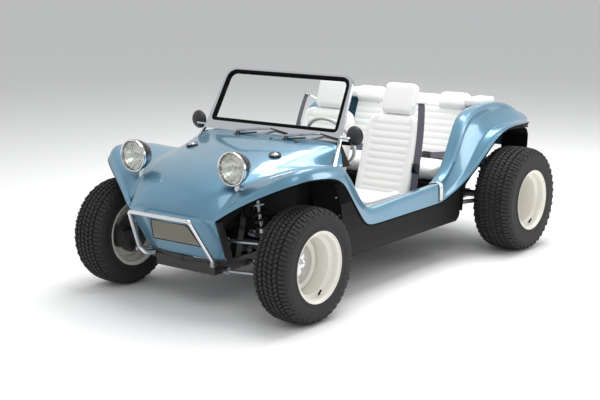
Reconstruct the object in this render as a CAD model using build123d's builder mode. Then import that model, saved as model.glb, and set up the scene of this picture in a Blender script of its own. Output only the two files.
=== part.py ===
"""Open four-seat dune buggy: a moulded body on a light chassis, with four road wheels and a rack steering.

Millimetres. +X is the car's left, -Y is forwards, +Z is up. The origin is on the ground under the middle.
"""
from build123d import *
import os
from math import asin, atan2, cos, radians, sin, tan

os.makedirs("parts", exist_ok=True)

# Running gear
WHEELBASE = 2270
FRONT_AXLE_Y = -1175
REAR_AXLE_Y = FRONT_AXLE_Y + WHEELBASE
RIM_LIP_RADIUS = 207.5
BEAD_RADIUS = 190
RIM_WALL = 5
WELL_DEPTH = 24
TYRE_WALL = 14
DISC_PLATE = 6
HUB_BORE_RADIUS = 26
HUB_RADIUS = 62
CAP_RADIUS = 122
CAP_HEIGHT = 44
CAP_WALL = 2
BRAKE_RADIUS = 126
BRAKE_THICKNESS = 16
SPINDLE_RADIUS = 20
RUNNING_FIT = 0.06
CLEAR = 0.3

FRONT = dict(track_x=720, radius=333, width=240, rim=226, tread=186, disc=-40, axle_y=FRONT_AXLE_Y)
REAR = dict(track_x=829, radius=359, width=285, rim=278, tread=226, disc=-72, axle_y=REAR_AXLE_Y)

# Steering
KINGPIN_X = 596
KINGPIN_RADIUS = 9
BALL_UP = 98
BALL_DOWN = 108
STEER_ARM = 120
STEER_ARM_Z = -3
RACK_HALF = 300
TIE_ROD_RADIUS = 8
RACK_RADIUS = 14
HOUSING_RADIUS = 24
HOUSING_HALF = 222

# Body shell
SKIN = 6
SILL_INNER_X = 600
SILL_X = 686
BODY_JOINT_Y = 322
COWL_Y = -612
NOSE_LOW_Z = 325
FLOOR_Z = 245
FLOOR_SHEET = 6

# Windscreen
SCREEN_FOOT_Y = -583
SCREEN_RAKE = 29.1
SCREEN_HEIGHT = 425
SCREEN_HALF_FOOT = 540
SCREEN_HALF_TOP = 503
SCREEN_OPEN_FOOT = 498
SCREEN_OPEN_TOP = 484
SCREEN_DEPTH = 22
SCREEN_RAIL = 20
SCREEN_SILL = 58
SCREEN_CORNER = 62
SEAL_WIDTH = 9
GLASS = 5

# Lamps and bumper
LAMP_X = 386
LAMP_Y = -1397
LAMP_Z = 874
LAMP_RADIUS = 100
LAMP_DEPTH = 118
BUMPER_RADIUS = 12.5

# Seats
SEAT_X = 280
SEAT_WIDTH = 440
CUSHION_Z = 420
CUSHION_TOP = 600
CUSHION_FRONT_Y = -235
CUSHION_BACK_Y = 292
BACK_RECLINE = 19
BACK_THICK = 100
BENCH_HALF = 480

# Steering wheel
WHEEL_X = 280
WHEEL_CENTRE = (WHEEL_X, -320, 884)
WHEEL_RAKE = 26.5
WHEEL_RADIUS = 172
WHEEL_RIM = 13


def offset_path(points, wall):
    """The path one wall to its right, with mitred corners."""
    lines = []
    for (x0, y0), (x1, y1) in zip(points, points[1:]):
        turn = atan2(y1 - y0, x1 - x0)
        shift = (wall * sin(turn), -wall * cos(turn))
        lines.append(((x0 + shift[0], y0 + shift[1]), (cos(turn), sin(turn))))
    moved = [lines[0][0]]
    for (a, u), (b, v) in zip(lines, lines[1:]):
        cross = u[0] * v[1] - u[1] * v[0]
        along = ((b[0] - a[0]) * v[1] - (b[1] - a[1]) * v[0]) / cross
        moved.append((a[0] + along * u[0], a[1] + along * u[1]))
    last, way = lines[-1]
    reach = (Vector(*points[-1]) - Vector(*points[-2])).length
    moved.append((last[0] + reach * way[0], last[1] + reach * way[1]))
    return moved


def corner_radii(points, share):
    """Radii whose arcs take up a share of the shorter run at each corner."""
    radii = []
    for before, corner, after in zip(points, points[1:], points[2:]):
        run_in = Vector(*corner) - Vector(*before)
        run_out = Vector(*after) - Vector(*corner)
        turn = radians(run_in.get_angle(run_out))
        radii.append(share * min(run_in.length, run_out.length) / tan(turn / 2))
    return radii


def skin_section(plane, points, share, wall=SKIN):
    """A thin band of the body's skin, drawn along its outer path in a section plane."""
    under = offset_path(points, wall)
    with BuildSketch(plane) as band:
        with BuildLine():
            outer = FilletPolyline(*points, radius=corner_radii(points, share))
            inner = FilletPolyline(*under, radius=corner_radii(under, share))
            Line(outer @ 0, inner @ 0)
            Line(outer @ 1, inner @ 1)
        make_face()
    return band.sketch


def side_band(x, path, share, wall):
    """A thin band drawn along a side view's path of (y, z) points, in the plane at x."""
    return skin_section(Plane(origin=(x, 0, 0), x_dir=(0, 1, 0), z_dir=(1, 0, 0)), path, share, wall)


def tube(points, radius, bend=0.0):
    """A round bar along straight runs with bent corners."""
    with BuildPart() as bar:
        with BuildLine() as path:
            if len(points) > 2:
                FilletPolyline(*points, radius=bend)
            else:
                Line(*points)
        with BuildSketch(Plane(origin=path.line @ 0, z_dir=path.line % 0)):
            Circle(radius)
        sweep()
    return bar.part


def bar_between(start, end, width, height):
    """A flat bar from one point to another, its height in the vertical plane of the run."""
    run = Vector(*end) - Vector(*start)
    side = run.cross(Vector(0, 0, 1))
    with BuildPart() as bar:
        with BuildSketch(Plane(origin=start, x_dir=side, z_dir=run)):
            Rectangle(width, height)
        extrude(amount=run.length)
    return bar.part


def both_sides(piece):
    """A left-hand piece and its right-hand twin."""
    with BuildPart() as pair:
        add(piece)
        mirror(about=Plane.YZ)
    return pair.part


def seated(piece, base):
    """A piece cut off where it meets the surface that carries it."""
    with BuildPart() as cut:
        add(piece)
        add(base, mode=Mode.SUBTRACT)
    return cut.part.solids().sort_by(SortBy.VOLUME)[-1]


def export(piece, name):
    """Label a finished piece and write its file."""
    piece.label = name
    export_step(piece, f"parts/{name}.step")


# Wheels
def wheel_plane(spec, side):
    """The sketch plane through a wheel's axle: local x points outwards, local y is the radius."""
    return Plane(
        origin=(side * spec["track_x"], spec["axle_y"], spec["radius"]),
        x_dir=(side, 0, 0),
        z_dir=(0, -side, 0),
    )


def spin_axis(spec, side):
    """The axle line of one wheel."""
    return Axis((side * spec["track_x"], spec["axle_y"], spec["radius"]), (1, 0, 0))


def make_tyre(spec, side):
    """A hollow tyre carcass with crowned tread, rounded sidewalls and beads on the rim."""
    bead = spec["rim"] / 2 - RIM_WALL - 2 * CLEAR
    root = BEAD_RADIUS + CLEAR
    half = spec["width"] / 2
    tread = spec["tread"] / 2
    crown = spec["radius"]
    shoulder = crown - 9
    low_shoulder = crown - 30
    bulge = (root + crown) / 2 - 8
    lip = RIM_LIP_RADIUS + 3
    with BuildPart() as tyre:
        with BuildSketch(wheel_plane(spec, side)):
            with BuildLine():
                Line((bead, root), (bead, lip))
                ThreePointArc((bead, lip), (half, bulge), (tread + 10, low_shoulder))
                Line((tread + 10, low_shoulder), (tread, shoulder))
                ThreePointArc((tread, shoulder), (0, crown), (-tread, shoulder))
                Line((-tread, shoulder), (-tread - 10, low_shoulder))
                ThreePointArc((-tread - 10, low_shoulder), (-half, bulge), (-bead, lip))
                Line((-bead, lip), (-bead, root))
                Line((-bead, root), (-bead + TYRE_WALL, root))
                ThreePointArc(
                    (-bead + TYRE_WALL, root), (-half + TYRE_WALL, bulge), (-tread, low_shoulder)
                )
                ThreePointArc((-tread, low_shoulder), (0, crown - TYRE_WALL), (tread, low_shoulder))
                ThreePointArc((tread, low_shoulder), (half - TYRE_WALL, bulge), (bead - TYRE_WALL, root))
                Line((bead - TYRE_WALL, root), (bead, root))
            make_face()
        revolve(axis=spin_axis(spec, side))
    return tyre.part


def make_rim(spec, side):
    """A deep-dish steel wheel: lips, bead seats, well and a dished centre disc."""
    half = spec["rim"] / 2
    seat = half - RIM_WALL - 34
    well = BEAD_RADIUS - WELL_DEPTH
    disc = spec["disc"]
    barrel = [
        (half, RIM_LIP_RADIUS),
        (half - RIM_WALL, RIM_LIP_RADIUS),
        (half - RIM_WALL, BEAD_RADIUS),
        (seat, BEAD_RADIUS),
        (seat - 16, well),
        (disc - DISC_PLATE, well),
        (-seat, BEAD_RADIUS),
        (-half + RIM_WALL, BEAD_RADIUS),
        (-half + RIM_WALL, RIM_LIP_RADIUS),
        (-half, RIM_LIP_RADIUS),
        (-half, BEAD_RADIUS - RIM_WALL),
        (-seat - 2, BEAD_RADIUS - RIM_WALL),
        (disc - DISC_PLATE - 4, well - RIM_WALL),
        (disc - DISC_PLATE - 4, CAP_RADIUS + 18),
        (disc - DISC_PLATE, CAP_RADIUS),
        (disc - DISC_PLATE, HUB_BORE_RADIUS),
        (disc, HUB_BORE_RADIUS),
        (disc, CAP_RADIUS),
        (disc + 2, CAP_RADIUS + 18),
        (disc + 2, well - RIM_WALL),
        (seat - 18, well - RIM_WALL),
        (seat - 2, BEAD_RADIUS - RIM_WALL),
        (half, BEAD_RADIUS - RIM_WALL),
    ]
    with BuildPart() as rim:
        with BuildSketch(wheel_plane(spec, side)):
            with BuildLine():
                Polyline(*barrel, close=True)
            make_face()
        revolve(axis=spin_axis(spec, side))
    return rim.part


def dome_arc(seat, radius, height):
    """Half of a dome's profile, from its edge on the seat to its peak on the axle line."""
    ball = (radius**2 + height**2) / (2 * height)
    half_turn = asin(radius / ball) / 2
    middle = (seat + height - ball + ball * cos(half_turn), ball * sin(half_turn))
    return ThreePointArc((seat, radius), middle, (seat + height, 0))


def make_hubcap(spec, side):
    """A pressed dome cap that closes the wheel's centre."""
    seat = spec["disc"] + CLEAR / 3
    with BuildPart() as cap:
        with BuildSketch(wheel_plane(spec, side)):
            with BuildLine():
                outer = dome_arc(seat, CAP_RADIUS, CAP_HEIGHT)
                inner = dome_arc(seat, CAP_RADIUS - CAP_WALL, CAP_HEIGHT - CAP_WALL)
                Line(outer @ 0, inner @ 0)
                Line(outer @ 1, inner @ 1)
            make_face()
        revolve(axis=spin_axis(spec, side))
    return cap.part


def make_front_hub(spec, side):
    """Hub and brake disc of a front wheel, bored for the knuckle's spindle."""
    face = spec["disc"] - DISC_PLATE
    back = face - 46
    bore = SPINDLE_RADIUS + RUNNING_FIT
    with BuildPart() as hub:
        with BuildSketch(wheel_plane(spec, side)):
            with BuildLine():
                Polyline(
                    (face, bore),
                    (face, HUB_RADIUS),
                    (back + BRAKE_THICKNESS, HUB_RADIUS),
                    (back + BRAKE_THICKNESS, BRAKE_RADIUS),
                    (back, BRAKE_RADIUS),
                    (back, bore),
                    close=True,
                )
            make_face()
        revolve(axis=spin_axis(spec, side))
    return hub.part


# Brake callipers grip the disc from behind the axle line
CALIPER_IN = 84
CALIPER_OUT = 150
CALIPER_SPAN = 46
CALIPER_GAP = 5.5


def make_caliper(spec, side, disc_x, towards):
    """A brake calliper that straddles the disc, on the front (-1) or rear (+1) side of the axle."""
    origin = (side * disc_x, spec["axle_y"], spec["radius"])
    with BuildPart() as caliper:
        with BuildSketch(Plane(origin=origin, x_dir=(0, towards, 0), z_dir=(side, 0, 0))):
            with BuildLine():
                ThreePointArc(
                    (CALIPER_IN * cos(radians(34)), CALIPER_IN * sin(radians(34))),
                    (CALIPER_IN, 0),
                    (CALIPER_IN * cos(radians(34)), -CALIPER_IN * sin(radians(34))),
                )
                Line(
                    (CALIPER_IN * cos(radians(34)), -CALIPER_IN * sin(radians(34))),
                    (CALIPER_OUT * cos(radians(28)), -CALIPER_OUT * sin(radians(28))),
                )
                ThreePointArc(
                    (CALIPER_OUT * cos(radians(28)), -CALIPER_OUT * sin(radians(28))),
                    (CALIPER_OUT, 0),
                    (CALIPER_OUT * cos(radians(28)), CALIPER_OUT * sin(radians(28))),
                )
                Line(
                    (CALIPER_OUT * cos(radians(28)), CALIPER_OUT * sin(radians(28))),
                    (CALIPER_IN * cos(radians(34)), CALIPER_IN * sin(radians(34))),
                )
            make_face()
        extrude(amount=CALIPER_SPAN / 2, both=True)
        with BuildSketch(Plane(origin=origin, x_dir=(0, towards, 0), z_dir=(side, 0, 0))):
            Circle(BRAKE_RADIUS + CALIPER_GAP)
        extrude(amount=BRAKE_THICKNESS / 2 + CALIPER_GAP, both=True, mode=Mode.SUBTRACT)
    return caliper.part


FRONT_HUB_BACK = FRONT["track_x"] + FRONT["disc"] - DISC_PLATE - 46
FRONT_DISC_X = FRONT_HUB_BACK + BRAKE_THICKNESS / 2
KNUCKLE_FACE = FRONT_HUB_BACK - 5


def make_knuckle(side):
    """Steering knuckle: upright, spindle, kingpin stubs, steering arm and brake calliper."""
    axle_z = FRONT["radius"]
    centre = (side * KINGPIN_X, FRONT_AXLE_Y, axle_z)
    caliper = make_caliper(FRONT, side, FRONT_DISC_X, -1)
    arm_end = (side * KINGPIN_X, FRONT_AXLE_Y + STEER_ARM, axle_z + STEER_ARM_Z)
    arm = bar_between((side * KINGPIN_X, FRONT_AXLE_Y + 10, axle_z + STEER_ARM_Z), arm_end, 20, 16)
    with BuildPart() as knuckle:
        with BuildSketch(Plane(origin=(side * KINGPIN_X, FRONT_AXLE_Y, axle_z - BALL_DOWN + 22))):
            Circle(15)
        extrude(amount=BALL_UP + BALL_DOWN - 44)
        with BuildSketch(Plane(origin=(side * KINGPIN_X, FRONT_AXLE_Y, axle_z - BALL_DOWN - 12))):
            Circle(KINGPIN_RADIUS)
        extrude(amount=BALL_UP + BALL_DOWN + 24)
        with BuildSketch(Plane(origin=centre, x_dir=(0, 1, 0), z_dir=(side, 0, 0))):
            Circle(40)
        extrude(amount=KNUCKLE_FACE - KINGPIN_X)
        with BuildSketch(Plane(origin=centre, x_dir=(0, 1, 0), z_dir=(side, 0, 0))):
            Circle(SPINDLE_RADIUS)
        extrude(amount=FRONT["track_x"] + FRONT["disc"] + 6 - KINGPIN_X)
        with BuildSketch(Plane(origin=centre, x_dir=(0, -1, 0), z_dir=(side, 0, 0))):
            with Locations((60, 0)):
                Rectangle(110, 56)
        extrude(amount=KNUCKLE_FACE - KINGPIN_X)
        add(caliper)
        add(arm)
        with BuildSketch(Plane(origin=(arm_end[0], arm_end[1], arm_end[2] - 8))):
            Circle(15)
        extrude(amount=16)
    return knuckle.part


DRIVE_HALF = 225
REAR_FACE = REAR["track_x"] + REAR["disc"] - DISC_PLATE
REAR_BRAKE_BACK = REAR_FACE - 40
HALF_SHAFT_RADIUS = 17
SHAFT_INNER_X = DRIVE_HALF + 0.5


def make_rear_axle(side):
    """Half shaft with its wheel flange, brake disc and inner joint."""
    spec = REAR
    centre = spec["track_x"]
    with BuildPart() as axle:
        with BuildSketch(wheel_plane(spec, side)):
            with BuildLine():
                Polyline(
                    (REAR_FACE - centre, 0),
                    (REAR_FACE - centre, HUB_RADIUS),
                    (REAR_BRAKE_BACK + BRAKE_THICKNESS - centre, HUB_RADIUS),
                    (REAR_BRAKE_BACK + BRAKE_THICKNESS - centre, BRAKE_RADIUS),
                    (REAR_BRAKE_BACK - centre, BRAKE_RADIUS),
                    (REAR_BRAKE_BACK - centre, HALF_SHAFT_RADIUS),
                    (SHAFT_INNER_X + 70 - centre, HALF_SHAFT_RADIUS),
                    (SHAFT_INNER_X + 55 - centre, 42),
                    (SHAFT_INNER_X - centre, 42),
                    (SHAFT_INNER_X - centre, 0),
                    close=True,
                )
            make_face()
        revolve(axis=spin_axis(spec, side))
    return axle.part


for corner, spec, side in (
    ("front_left", FRONT, 1),
    ("front_right", FRONT, -1),
    ("rear_left", REAR, 1),
    ("rear_right", REAR, -1),
):
    export(make_tyre(spec, side), f"{corner}_tyre")
    export(make_rim(spec, side), f"{corner}_rim")
    export(make_hubcap(spec, side), f"{corner}_hubcap")
    if spec is FRONT:
        export(make_front_hub(spec, side), f"{corner}_hub")
        export(make_knuckle(side), f"{corner}_knuckle")
    else:
        export(make_rear_axle(side), f"{corner}_axle")


# Front suspension arms, one pair above and one below each knuckle
ARM_EYE = 24
ARM_THICK = 22
ARM_TUBE = 12
FRONT_RAIL_X = 200
FRONT_RAIL_WIDTH = 60
ARM_PIVOT_X = FRONT_RAIL_X + FRONT_RAIL_WIDTH / 2 + CLEAR
ARM_SPREAD = 118


def make_front_arm(height, lift, low_face):
    """An A-arm from the front rail to the kingpin eye, with a boss at each pivot."""
    eye_z = FRONT["radius"] + height
    bottom = eye_z if low_face else eye_z - ARM_THICK
    middle = bottom + ARM_THICK / 2
    legs = []
    for spread in (-ARM_SPREAD, ARM_SPREAD):
        foot = (ARM_PIVOT_X + 10, FRONT_AXLE_Y + spread, middle + lift)
        legs.append(tube((foot, (KINGPIN_X - 14, FRONT_AXLE_Y + spread * 0.06, middle)), ARM_TUBE - 2))
        legs.append(tube(((ARM_PIVOT_X, foot[1], foot[2]), (ARM_PIVOT_X + 30, foot[1], foot[2])), 20))
    with BuildPart() as arm:
        with BuildSketch(Plane.XY.offset(bottom)):
            with Locations((KINGPIN_X, FRONT_AXLE_Y)):
                Circle(ARM_EYE)
        extrude(amount=ARM_THICK)
        for leg in legs:
            add(leg)
        with BuildSketch(Plane.XY.offset(bottom - 40)):
            with Locations((KINGPIN_X, FRONT_AXLE_Y)):
                Circle(KINGPIN_RADIUS + RUNNING_FIT)
        extrude(amount=ARM_THICK + 80, mode=Mode.SUBTRACT)
    return arm.part


KNUCKLE_TOP = BALL_UP - 22
KNUCKLE_LOW = 22 - BALL_DOWN
UPPER_LIFT = 6
LOWER_LIFT = 10
upper_arm = make_front_arm(KNUCKLE_TOP + CLEAR, UPPER_LIFT, True)
lower_arm = make_front_arm(KNUCKLE_LOW - CLEAR, LOWER_LIFT, False)

# Coil-over dampers: a ridged spring body between two eyes
COIL_RADIUS = 42
COIL_RIDGE = 9
COIL_TURNS = 7
DAMPER_RADIUS = 24
DAMPER_EYE = 15


def make_coilover(foot, head):
    """A damper with its spring drawn as ridges, and an eye at each end."""
    run = Vector(*head) - Vector(*foot)
    length = run.length
    pitch = (length - 130) / COIL_TURNS
    profile = [(0, 0), (DAMPER_RADIUS, 0), (DAMPER_RADIUS, 50), (COIL_RADIUS + 4, 52), (COIL_RADIUS + 4, 60)]
    for turn in range(COIL_TURNS):
        low = 62 + turn * pitch
        profile += [(COIL_RADIUS - COIL_RIDGE, low), (COIL_RADIUS, low + pitch / 2)]
    top = length - 66
    profile += [(COIL_RADIUS - COIL_RIDGE, top), (COIL_RADIUS + 4, top + 2), (COIL_RADIUS + 4, top + 10)]
    profile += [(12, top + 12), (12, length), (0, length)]
    with BuildPart() as damper:
        with BuildSketch(Plane(origin=foot, x_dir=Vector(0, 1, 0).cross(run), z_dir=(0, -1, 0))):
            with BuildLine():
                Polyline(*profile, close=True)
            make_face()
        revolve(axis=Axis(foot, run))
        for end in (foot, head):
            with BuildSketch(Plane(origin=(end[0], end[1] - 18, end[2]), z_dir=(0, 1, 0))):
                Circle(DAMPER_EYE)
            extrude(amount=36)
    return damper.part


# Chassis: rails under the floor, a narrow nose frame and a tail frame
RAIL_X = 330
RAIL_LOW = 190
FRONT_RAIL_LOW = 233
FRONT_RAIL_TOP = 303
REAR_RAIL_X = 260
REAR_RAIL_WIDTH = 50
REAR_RAIL_LOW = 250
REAR_RAIL_TOP = 310
FIREWALL_Y = -730
FRAME_FRONT_Y = -1379.5
FRAME_BACK_Y = 1430
TOW_X = 80
TOW_Z = 280
TOW_HALF_RISE = 15
TOW_HOLE = 5.25
BENCH_Y = 600
TOWER_HALF = 25
LOWER_ARM_Z = FRONT["radius"] + KNUCKLE_LOW - CLEAR - ARM_THICK / 2
FRONT_COIL_X = 470
FRONT_CROSS_Z = LOWER_ARM_Z + 4
FRONT_COIL_FOOT = (FRONT_COIL_X, FRONT_AXLE_Y, FRONT_CROSS_Z + ARM_TUBE - 2 + DAMPER_EYE + CLEAR)
FRONT_COIL_HEAD = (376, FRONT_AXLE_Y, 690)
REAR_ARM_TUBE = 16
REAR_PIVOT_X = REAR_RAIL_X + REAR_RAIL_WIDTH / 2 + CLEAR
REAR_PIVOTS = ((REAR_PIVOT_X, 760, 285), (REAR_PIVOT_X, 1330, 285))
CARRIER_DEPTH = 71
CARRIER_IN_X = REAR_BRAKE_BACK - CARRIER_DEPTH
CARRIER_LEG_X = CARRIER_IN_X + 10
BRACKET_X = CARRIER_IN_X + 50
CARRIER_RADIUS = 60
CARRIER_ENDS = ((CARRIER_LEG_X, REAR_AXLE_Y - 30, 335), (CARRIER_LEG_X, REAR_AXLE_Y + 30, 335))
REAR_COIL_X = CARRIER_IN_X - 80
REAR_COIL_LEAN = 64
COIL_SHARE = (REAR_COIL_X - REAR_PIVOT_X) / (CARRIER_ENDS[1][0] - REAR_PIVOT_X)
REAR_COIL_Y = REAR_PIVOTS[1][1] + COIL_SHARE * (CARRIER_ENDS[1][1] - REAR_PIVOTS[1][1])
REAR_COIL_Z = REAR_PIVOTS[1][2] + COIL_SHARE * (CARRIER_ENDS[1][2] - REAR_PIVOTS[1][2])
REAR_COIL_FOOT = (REAR_COIL_X, REAR_COIL_Y, REAR_COIL_Z + REAR_ARM_TUBE + DAMPER_EYE + 2)
REAR_COIL_HEAD = (REAR_COIL_X - REAR_COIL_LEAN, REAR_COIL_Y, 760)

front_cross = tube(
    ((FRONT_COIL_X, FRONT_AXLE_Y - 44, FRONT_CROSS_Z), (FRONT_COIL_X, FRONT_AXLE_Y + 44, FRONT_CROSS_Z)),
    ARM_TUBE - 2,
)
with BuildPart() as lower_arm_left:
    add(lower_arm)
    add(front_cross)
with BuildPart() as front_arms:
    add(both_sides(upper_arm))
    add(both_sides(lower_arm_left.part))
export(front_arms.part, "front_suspension_arms")
export(both_sides(make_coilover(FRONT_COIL_FOOT, FRONT_COIL_HEAD)), "front_coilovers")

REAR_CALIPER_X = REAR_BRAKE_BACK + BRAKE_THICKNESS / 2
rear_legs = []
for pivot, end in zip(REAR_PIVOTS, CARRIER_ENDS):
    rear_legs.append(tube(((pivot[0] + 18, pivot[1], pivot[2]), end), REAR_ARM_TUBE))
rear_pads = [tube((pivot, (pivot[0] + 34, pivot[1], pivot[2])), 24) for pivot in REAR_PIVOTS]
rear_caliper = make_caliper(REAR, 1, REAR_CALIPER_X, -1)
with BuildPart() as rear_arm_left:
    with BuildSketch(Plane(origin=(CARRIER_IN_X, REAR_AXLE_Y, REAR["radius"]), z_dir=(1, 0, 0))):
        Circle(CARRIER_RADIUS)
    extrude(amount=REAR_BRAKE_BACK - 6 - CARRIER_IN_X)
    for piece in rear_legs + rear_pads:
        add(piece)
    add(rear_caliper)
    with BuildSketch(Plane(origin=(BRACKET_X, REAR_AXLE_Y, REAR["radius"]), x_dir=(0, -1, 0), z_dir=(1, 0, 0))):
        with Locations((80, 0)):
            Rectangle(120, 60)
    extrude(amount=REAR_BRAKE_BACK - 6 - BRACKET_X)
    with BuildSketch(Plane(origin=(REAR_COIL_X, REAR_COIL_Y, REAR_COIL_Z))):
        Rectangle(40, 40)
    extrude(amount=REAR_ARM_TUBE + 1.7)
    with BuildSketch(Plane(origin=(CARRIER_IN_X - 60, REAR_AXLE_Y, REAR["radius"]), z_dir=(1, 0, 0))):
        Circle(HALF_SHAFT_RADIUS + RUNNING_FIT)
    extrude(amount=200, mode=Mode.SUBTRACT)
export(both_sides(rear_arm_left.part), "rear_suspension_arms")
export(both_sides(make_coilover(REAR_COIL_FOOT, REAR_COIL_HEAD)), "rear_coilovers")


def make_tower(coil_head, rail_in, rail_out, rail_top):
    """A plate from a rail up to a damper's top eye."""
    face = coil_head[0] - DAMPER_EYE - CLEAR
    with BuildPart() as tower:
        with BuildSketch(Plane(origin=(0, coil_head[1], 0), x_dir=(1, 0, 0), z_dir=(0, -1, 0))):
            with BuildLine():
                Polyline(
                    (rail_in, rail_top - 10),
                    (rail_out, rail_top - 10),
                    (face - 64, coil_head[2] - 60),
                    (face, coil_head[2] - 14),
                    (face, coil_head[2] + 26),
                    (face - 76, coil_head[2] + 26),
                    close=True,
                )
            make_face()
        extrude(amount=TOWER_HALF, both=True)
    return tower.part


RACK_Z = FRONT["radius"] + STEER_ARM_Z + 16.5
RACK_Y = FRONT_AXLE_Y + STEER_ARM
# Boxes of the left half of the frame: x from, x to, y from, y to, z from, z to
FRONT_CROSS_Y = FIREWALL_Y - 6
REAR_CROSS_Y = BENCH_Y + 9
FRONT_FRAME = (
    (0, RAIL_X + 30, -790, FRONT_CROSS_Y, RAIL_LOW, FRONT_RAIL_TOP),
    (FRONT_RAIL_X - 30, FRONT_RAIL_X + 30, FRAME_FRONT_Y, -780, FRONT_RAIL_LOW, FRONT_RAIL_TOP),
    (0, FRONT_RAIL_X, FRAME_FRONT_Y, -1340, FRONT_RAIL_LOW, FRONT_RAIL_TOP),
    (FRONT_RAIL_X - 26, FRONT_RAIL_X + 22, RACK_Y - 20, RACK_Y + 20, FRONT_RAIL_TOP - 2, RACK_Z),
)
FLOOR_RAIL = (
    (RAIL_X - 30, RAIL_X + 30, FRONT_CROSS_Y + CLEAR, REAR_CROSS_Y - CLEAR, RAIL_LOW, FLOOR_Z - CLEAR),
)
REAR_FRAME = (
    (0, RAIL_X + 30, REAR_CROSS_Y, 660, RAIL_LOW, REAR_RAIL_TOP),
    (REAR_RAIL_X - 25, REAR_RAIL_X + 25, 650, FRAME_BACK_Y, REAR_RAIL_LOW, REAR_RAIL_TOP),
    (0, REAR_RAIL_X, 880, 930, 215, 240),
    (0, REAR_RAIL_X, 1270, 1320, 215, 240),
    (REAR_RAIL_X - 25, REAR_RAIL_X + 25, 880, 930, 215, REAR_RAIL_LOW + 4),
    (REAR_RAIL_X - 25, REAR_RAIL_X + 25, 1270, 1320, 215, REAR_RAIL_LOW + 4),
    (0, REAR_RAIL_X, 1400, FRAME_BACK_Y, REAR_RAIL_LOW, REAR_RAIL_TOP),
)


def welded(boxes):
    """Box sections joined to one half of a frame."""
    with BuildPart() as half:
        for x0, x1, y0, y1, z0, z1 in boxes:
            with BuildSketch(Plane.XY.offset(z0)):
                with Locations(((x0 + x1) / 2, (y0 + y1) / 2)):
                    Rectangle(x1 - x0, y1 - y0)
            extrude(amount=z1 - z0)
    return half.part


front_tower = make_tower(FRONT_COIL_HEAD, FRONT_RAIL_X - 20, FRONT_RAIL_X + 30, FRONT_RAIL_TOP)
rear_tower = make_tower(REAR_COIL_HEAD, REAR_RAIL_X - 25, REAR_RAIL_X + 25, REAR_RAIL_TOP)
housing = tube(((0, RACK_Y, RACK_Z), (HOUSING_HALF, RACK_Y, RACK_Z)), HOUSING_RADIUS)
with BuildPart() as front_frame_left:
    add(welded(FRONT_FRAME))
    add(front_tower)
    add(housing)
    with BuildSketch(Plane(origin=(-10, RACK_Y, RACK_Z), z_dir=(1, 0, 0))):
        Circle(RACK_RADIUS + CLEAR)
    extrude(amount=HOUSING_HALF + 20, mode=Mode.SUBTRACT)
export(both_sides(front_frame_left.part), "front_frame")
export(both_sides(welded(FLOOR_RAIL)), "floor_rails")
with BuildPart() as rear_frame_left:
    add(welded(REAR_FRAME))
    add(rear_tower)
    with BuildSketch(Plane(origin=(TOW_X, FRAME_BACK_Y, TOW_Z), x_dir=(0, 0, 1), z_dir=(0, 1, 0))):
        with Locations((-TOW_HALF_RISE, 0), (TOW_HALF_RISE, 0)):
            Circle(TOW_HOLE)
    extrude(amount=-40, mode=Mode.SUBTRACT)
export(both_sides(rear_frame_left.part), "rear_frame")

DRIVE_LOW = 240.3
DRIVE_TOP = 470
with BuildPart() as drive_unit:
    with BuildSketch(Plane.XY.offset(DRIVE_LOW)):
        with Locations((0, 1090)):
            RectangleRounded(2 * DRIVE_HALF, 440, 40)
    extrude(amount=DRIVE_TOP - DRIVE_LOW)
    fillet(drive_unit.faces().sort_by(Axis.Z)[-1].edges(), 24)
export(drive_unit.part, "drive_unit")

# Steering rack bar with its tie rods, held to each knuckle's arm by an eye above it
rack_bar = tube(((-RACK_HALF, RACK_Y, RACK_Z), (RACK_HALF, RACK_Y, RACK_Z)), RACK_RADIUS)
tie_rods = tube(((-KINGPIN_X, RACK_Y, RACK_Z), (KINGPIN_X, RACK_Y, RACK_Z)), TIE_ROD_RADIUS)
with BuildPart() as rack:
    add(rack_bar)
    add(tie_rods)
    with BuildSketch(Plane.XY.offset(RACK_Z - 8)):
        with Locations((-KINGPIN_X, RACK_Y), (KINGPIN_X, RACK_Y)):
            Circle(14)
    extrude(amount=14)
export(rack.part, "steering_rack")

# Hood and nose: sections from the lip over the nose to the cowl
# centre y, centre z, tilt of the section, shoulder x, shoulder drop, edge x, edge drop
HOOD_SECTIONS = (
    (-1536, 587, 90, 220, 14, 338, 45),
    (-1533, 665, 76, 240, 22, 362, 100),
    (-1492, 748, 58, 278, 30, 402, 122),
    (-1365, 806, 24, 330, 26, 440, 66),
    (-1195, 852, 8, 372, 22, 468, 46),
    (-940, 902, 0, 420, 30, 516, 82),
    (-740, 926, 0, 478, 24, 552, 114),
    (COWL_Y, 938, 0, 506, 14, 578, 148),
)
# Foot of the panel below the nose's lip, with the same columns
NOSE_LOW_SECTION = (-1404, NOSE_LOW_Z, 90, 200, 8, 300, 40)
HOOD_SHARE = 0.42


def hood_section(row):
    """One band of the hood's skin, level across the car, in a plane tilted about a line across it."""
    y, z, tilt, shoulder_x, shoulder_drop, edge_x, edge_drop = row
    lean = radians(tilt)
    plane = Plane(origin=(0, y, z), x_dir=(1, 0, 0), z_dir=(0, -cos(lean), -sin(lean)))
    half = [(shoulder_x, -shoulder_drop), (edge_x, -edge_drop)]
    points = [(-x, drop) for x, drop in reversed(half)] + [(0, 0)] + half
    return skin_section(plane, points, HOOD_SHARE)


GRILLE_Z = 482
GRILLE_TOP_HALF = 142
GRILLE_LOW_HALF = 198
GRILLE_HEIGHT = 150
GRILLE_LEAN = 27
GRILLE_PLANE = Plane(
    origin=(0, -1478, GRILLE_Z - 8),
    x_dir=(1, 0, 0),
    z_dir=(0, -cos(radians(GRILLE_LEAN)), -sin(radians(GRILLE_LEAN))),
)


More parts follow.
